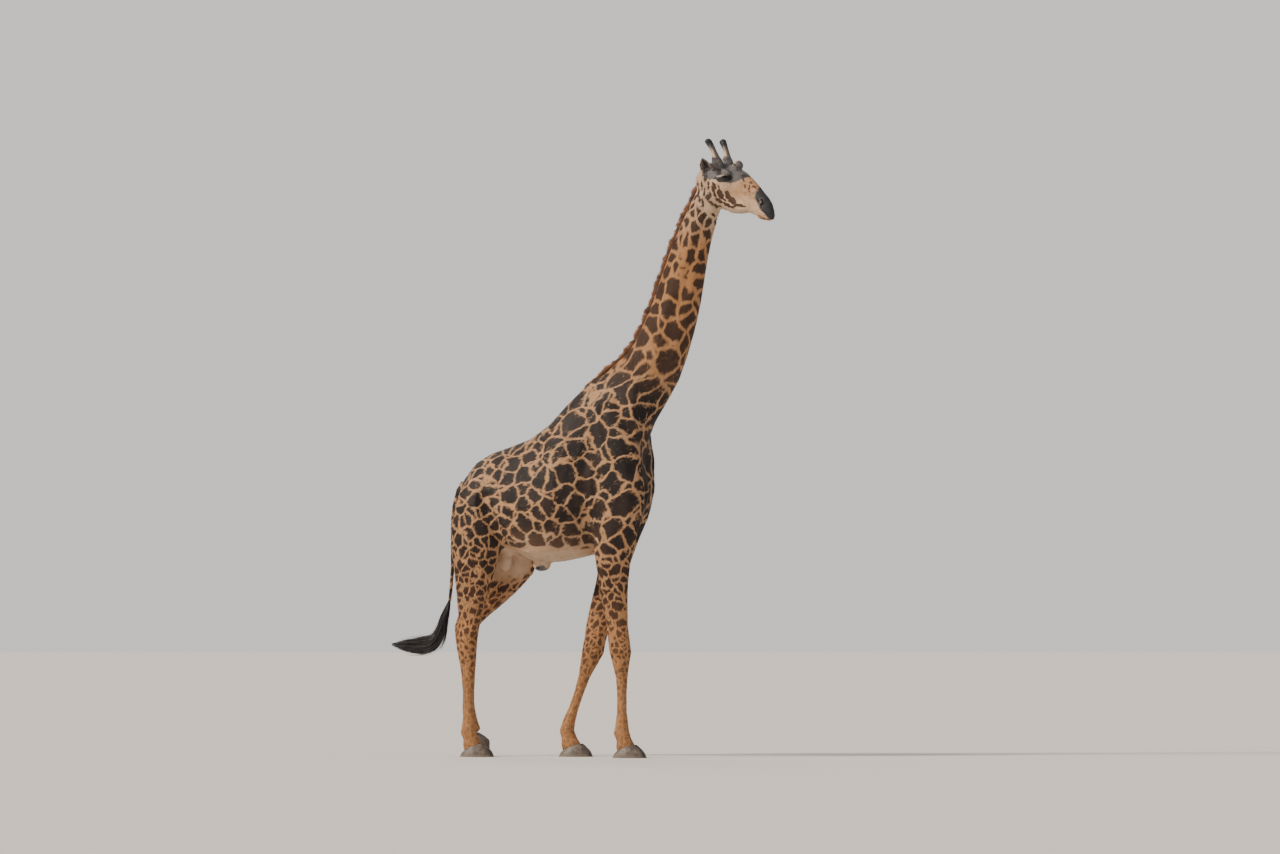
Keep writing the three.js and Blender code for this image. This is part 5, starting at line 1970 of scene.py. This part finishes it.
@dataclass
class Coat:
    """Short flat fur over the whole skin, in small overlapping tufts that follow its lie."""

    count: int = 440000
    body_length: float = 0.0160
    body_width: float = 0.0040
    face_length: float = 0.0075
    face_width: float = 0.0020
    foot_length: float = 0.0105
    foot_width: float = 0.0030
    trunk_way: tuple[float, float, float] = (-0.84, 0.0, -0.42)
    neck_way: tuple[float, float, float] = (-0.34, 0.0, -0.94)

    def build(self, skin: SkinMap) -> None:
        """Makes the coat's pieces, one for each part of the body."""
        rng = np.random.default_rng(5)
        surface = skin.surface
        corners = surface.points[surface.faces]
        area = np.linalg.norm(
            np.cross(corners[:, 1] - corners[:, 0], corners[:, 2] - corners[:, 0]), axis=1
        ) / 2
        middles = corners.mean(1)
        straight = POSE.straighten(middles)
        neck, head, _ = MARKINGS.shares(straight)
        foot = smooth(1.1, 0.4, straight[:, 2])
        density = 1 + 3.2 * head + 0.9 * foot
        local = POSE.to_head(straight)
        bare = head * smooth(0.40, 0.46, local[:, 0])
        density *= 1 - 0.3 * bare
        density[EYE.nearest(local) < 0.036] = 0
        over_hoof = smooth(0.165, 0.115, straight[:, 2])
        density *= 1 + 2.5 * over_hoof
        facing_down = surface.normals()[surface.faces].mean(1)[:, 2] < -0.55
        density[facing_down & (straight[:, 2] < 0.16)] = 0
        weight = np.cumsum(area * density)
        picks = np.searchsorted(weight, rng.uniform(0, weight[-1], self.count))
        picks = np.minimum(picks, len(area) - 1)
        part = self.part(straight, neck, head)[picks]
        order = np.argsort(part, kind="stable")
        picks, part = picks[order], part[order]
        u, v = rng.uniform(0, 1, (2, self.count))
        over = u + v > 1
        u[over], v[over] = 1 - u[over], 1 - v[over]
        share = np.stack([1 - u - v, u, v], 1)
        normals = surface.normals()
        root = (surface.points[surface.faces[picks]] * share[..., None]).sum(1)
        normal = unit((normals[surface.faces[picks]] * share[..., None]).sum(1))
        places = (skin.corner_uv[picks] * share[..., None]).sum(1)
        names = (
            "coat_head", "coat_neck", "coat_trunk_left", "coat_trunk_right", "coat_legs_front",
            "coat_legs_hind",
        )
        finish = TuftFinish().make()
        for number, name in enumerate(names):
            chosen = np.flatnonzero(part == number)
            self.piece(name, root[chosen], normal[chosen], places[chosen], finish, rng)

    @staticmethod
    def part(p: Array, neck: Array, head: Array) -> Array:
        """Returns the number of the coat piece that each place belongs to."""
        number = np.where(p[:, 1] > 0, 2, 3)
        number[neck > 0.5] = 1
        number[head > 0.5] = 0
        low = p[:, 2] < 1.75
        number[low & (p[:, 0] > 0.2)] = 4
        number[low & (p[:, 0] <= 0.2)] = 5
        return number

    @staticmethod
    def sizes(body: float, foot: float, face: float) -> Array:
        """Returns the body's size, and how much the foot's and the face's differ from it."""
        return np.array([body, foot - body, face - body])

    def lie(self, p: Array, local: Array, rng: np.random.Generator) -> Array:
        """Returns the way that the hair lies at each place, in the model."""
        neck, head, limbs = MARKINGS.shares(p)
        limb = np.clip(sum(limbs), 0, 1)
        way = np.tile(np.array(self.trunk_way), (len(p), 1))
        way[:, 2] += 0.40 * smooth(2.4, 3.2, p[:, 2] - 0.9 * p[:, 0])
        chest = smooth(0.65, 0.85, p[:, 0])
        way += chest[:, None] * (np.array([-0.1, 0, -1.0]) - way)
        way += neck[:, None] * (np.array(self.neck_way) - way)
        way += limb[:, None] * (np.array([0.0, 0, -1.0]) - way)
        way[p[:, 0] < -0.93] = (-0.15, 0, -1.0)
        f, y, d = local.T
        cos, sin = math.cos(POSE.pitch), math.sin(POSE.pitch)
        back, up = -np.ones(len(p)), -0.30 + 0.35 * smooth(0.0, 0.10, d)
        ear = smooth(0.098, 0.112, np.abs(y)) * smooth(-0.08, -0.11, f)
        back, up = back * (1 - ear) - 0.55 * ear, up * (1 - ear) + 0.55 * ear
        face = np.stack([back * cos + up * sin, 0.55 * ear * np.sign(y), -back * sin + up * cos], 1)
        way += head[:, None] * (face - way)
        swirl = 0.22 * np.sin(p[:, 0] * 9 + 1.3 * np.sin(p[:, 2] * 7))
        swirl += 0.12 * np.sin(p[:, 2] * 23 + p[:, 0] * 17)
        way = (
            unit(way) + np.stack([swirl * 0.5, swirl * 0, -swirl], 1) * 0.35
            + rng.normal(0, 0.16, (len(p), 3))
        )
        angle = POSE.angle(p[:, 2])
        turned = way.copy()
        turned[:, 0] = way[:, 0] * np.cos(angle) - way[:, 1] * np.sin(angle)
        turned[:, 1] = way[:, 0] * np.sin(angle) + way[:, 1] * np.cos(angle)
        return turned

    def piece(
        self, name: str, root: Array, normal: Array, places: Array, finish: bpy.types.Material,
        rng: np.random.Generator,
    ) -> None:
        """Makes one piece of the coat.

        Args:
            name: the piece's name.
            root: where each tuft grows.
            normal: which way the skin faces there.
            places: each root's place on the skin's unwrap.
            finish: the tufts' material.
            rng: the source of chance.
        """
        count = len(root)
        straight = POSE.straighten(root)
        local = POSE.to_head(straight)
        _, head, _ = MARKINGS.shares(straight)
        foot = smooth(1.0, 0.35, straight[:, 2])
        shares = np.stack([np.ones(count), foot, head * (1 - foot)])
        length = self.sizes(self.body_length, self.foot_length, self.face_length) @ shares
        length *= rng.uniform(0.7, 1.25, count)
        length *= 1 + 1.3 * smooth(0.165, 0.115, straight[:, 2])
        width = self.sizes(self.body_width, self.foot_width, self.face_width) @ shares
        width *= rng.uniform(0.75, 1.2, count)
        way = self.lie(straight, local, rng)
        way = unit(way - normal * (way * normal).sum(1, keepdims=True))
        aside = np.cross(normal, way)
        rise = length * rng.uniform(0.10, 0.19, count)
        stray = rng.uniform(0, 1, count) < 0.05
        rise[stray] *= 1.5
        rise = np.minimum(rise, 0.0052)
        middle = root + way * (0.45 * length)[:, None] + normal * (0.62 * rise)[:, None]
        half = aside * (0.5 * width)[:, None]
        tip = root + way * length[:, None] + normal * rise[:, None]
        points = np.stack([root - normal * 0.0008, middle - half, middle + half, tip], 1)
        one = np.array([(0, 1, 2), (1, 3, 2)])
        faces = (one[None] + 4 * np.arange(count)[:, None, None]).reshape(-1, 3)
        if count and (np.cross(points[0, 1] - points[0, 0], points[0, 2] - points[0, 0]) @ normal[0]) < 0:
            faces = faces[:, ::-1]
        mesh = joined_mesh(name, points.reshape(-1, 3), faces)
        shaded = np.repeat(normal, 4, axis=0)
        shaded[3::4] += 0.35 * way
        mesh.normals_split_custom_set_from_vertices(unit(shaded))
        MARKINGS.dress(mesh, root, normal, 4)
        bake_places(mesh, places, 6)
        enter(link(name, mesh), finish, "coat")


# ---------------------------------------------------------------- studio


@dataclass(frozen=True)
class Studio:
    """The pale floor, the soft lights and the camera."""

    azimuth: float = math.radians(20.0)
    distance: float = 150.0
    aim_along: float = 0.686
    aim_height: float = 2.830
    view_width: float = 10.977
    floor_radius: float = 70.0
    sky: Colour = (0.80, 0.78, 0.76)
    sky_strength: float = 0.46
    backdrop_strength: float = 1.05

    def build(self) -> None:
        """Makes the floor, the lights, the sky and the camera."""
        self.floor()
        self.light("key", 4.6, 12.0, (1.0, 0.88, 0.74), azimuth=-66.0, height=36.0)
        self.light("fill", 0.5, 60.0, (0.86, 0.92, 1.0), azimuth=60.0, height=30.0)
        self.light("back", 1.2, 40.0, (1.0, 0.93, 0.86), azimuth=200.0, height=38.0)
        world = bpy.data.worlds.new("studio")
        world.use_nodes = True
        nodes, links = world.node_tree.nodes, world.node_tree.links
        background = nodes["Background"]
        background.inputs["Color"].default_value = (*self.sky, 1.0)
        seen = nodes.new("ShaderNodeLightPath")
        strength = nodes.new("ShaderNodeMix")
        strength.inputs["A"].default_value = self.sky_strength
        strength.inputs["B"].default_value = self.backdrop_strength
        links.new(seen.outputs["Is Camera Ray"], strength.inputs["Factor"])
        links.new(strength.outputs["Result"], background.inputs["Strength"])
        bpy.context.scene.world = world
        self.camera()

    def floor(self) -> None:
        """Makes the floor, which isn't part of the animal."""
        bm = bmesh.new()
        bmesh.ops.create_circle(bm, cap_ends=True, segments=96, radius=self.floor_radius)
        mesh = bpy.data.meshes.new("floor")
        bm.to_mesh(mesh)
        bm.free()
        mesh.materials.append(FloorFinish().make())
        link("floor", mesh)

    def light(
        self, name: str, strength: float, softness: float, colour: Colour, azimuth: float, height: float
    ) -> None:
        """Makes a broad, distant light.

        Args:
            name: the light's name.
            strength: how bright it is.
            softness: how wide it looks, in degrees.
            colour: its colour.
            azimuth: the side that it shines from, in degrees from the front of the scene towards the right.
            height: how high it stands, in degrees.
        """
        lamp = bpy.data.lights.new(name, "SUN")
        lamp.energy = strength
        lamp.angle = math.radians(softness)
        lamp.color = colour
        piece = bpy.data.objects.new(name, lamp)
        bpy.context.scene.collection.objects.link(piece)
        way = self.azimuth + math.radians(azimuth)
        tilt = math.radians(height)
        source = Vector((math.sin(way) * math.cos(tilt), -math.cos(way) * math.cos(tilt), math.sin(tilt)))
        piece.rotation_euler = source.to_track_quat("Z", "Y").to_euler()

    def camera(self) -> None:
        """Makes the camera, level and far away."""
        lens = bpy.data.cameras.new("camera")
        lens.sensor_width = 36.0
        lens.lens = lens.sensor_width * self.distance / self.view_width
        lens.clip_start = 10.0
        lens.clip_end = 600.0
        piece = bpy.data.objects.new("camera", lens)
        bpy.context.scene.collection.objects.link(piece)
        cos, sin = math.cos(self.azimuth), math.sin(self.azimuth)
        target = Vector((self.aim_along * cos + POSE.shift, self.aim_along * sin, self.aim_height))
        piece.location = target + self.distance * Vector((sin, -cos, 0.0))
        piece.rotation_euler = (math.pi / 2, 0.0, self.azimuth)
        bpy.context.scene.camera = piece


def main() -> None:
    """Builds the animal piece by piece, then the studio round it."""
    logging.basicConfig(level=logging.INFO, format="%(relativeCreated)6d %(message)s")
    Studio().build()
    skin = SkinMap(Skin().build())
    Eyes().build()
    horns = Horns().build()
    Hooves().build()
    Mane().build(skin)
    TailTuft().build(skin)
    FaceHair().build(skin, horns)
    Coat().build(skin)


if __name__ == "__main__":
    main()
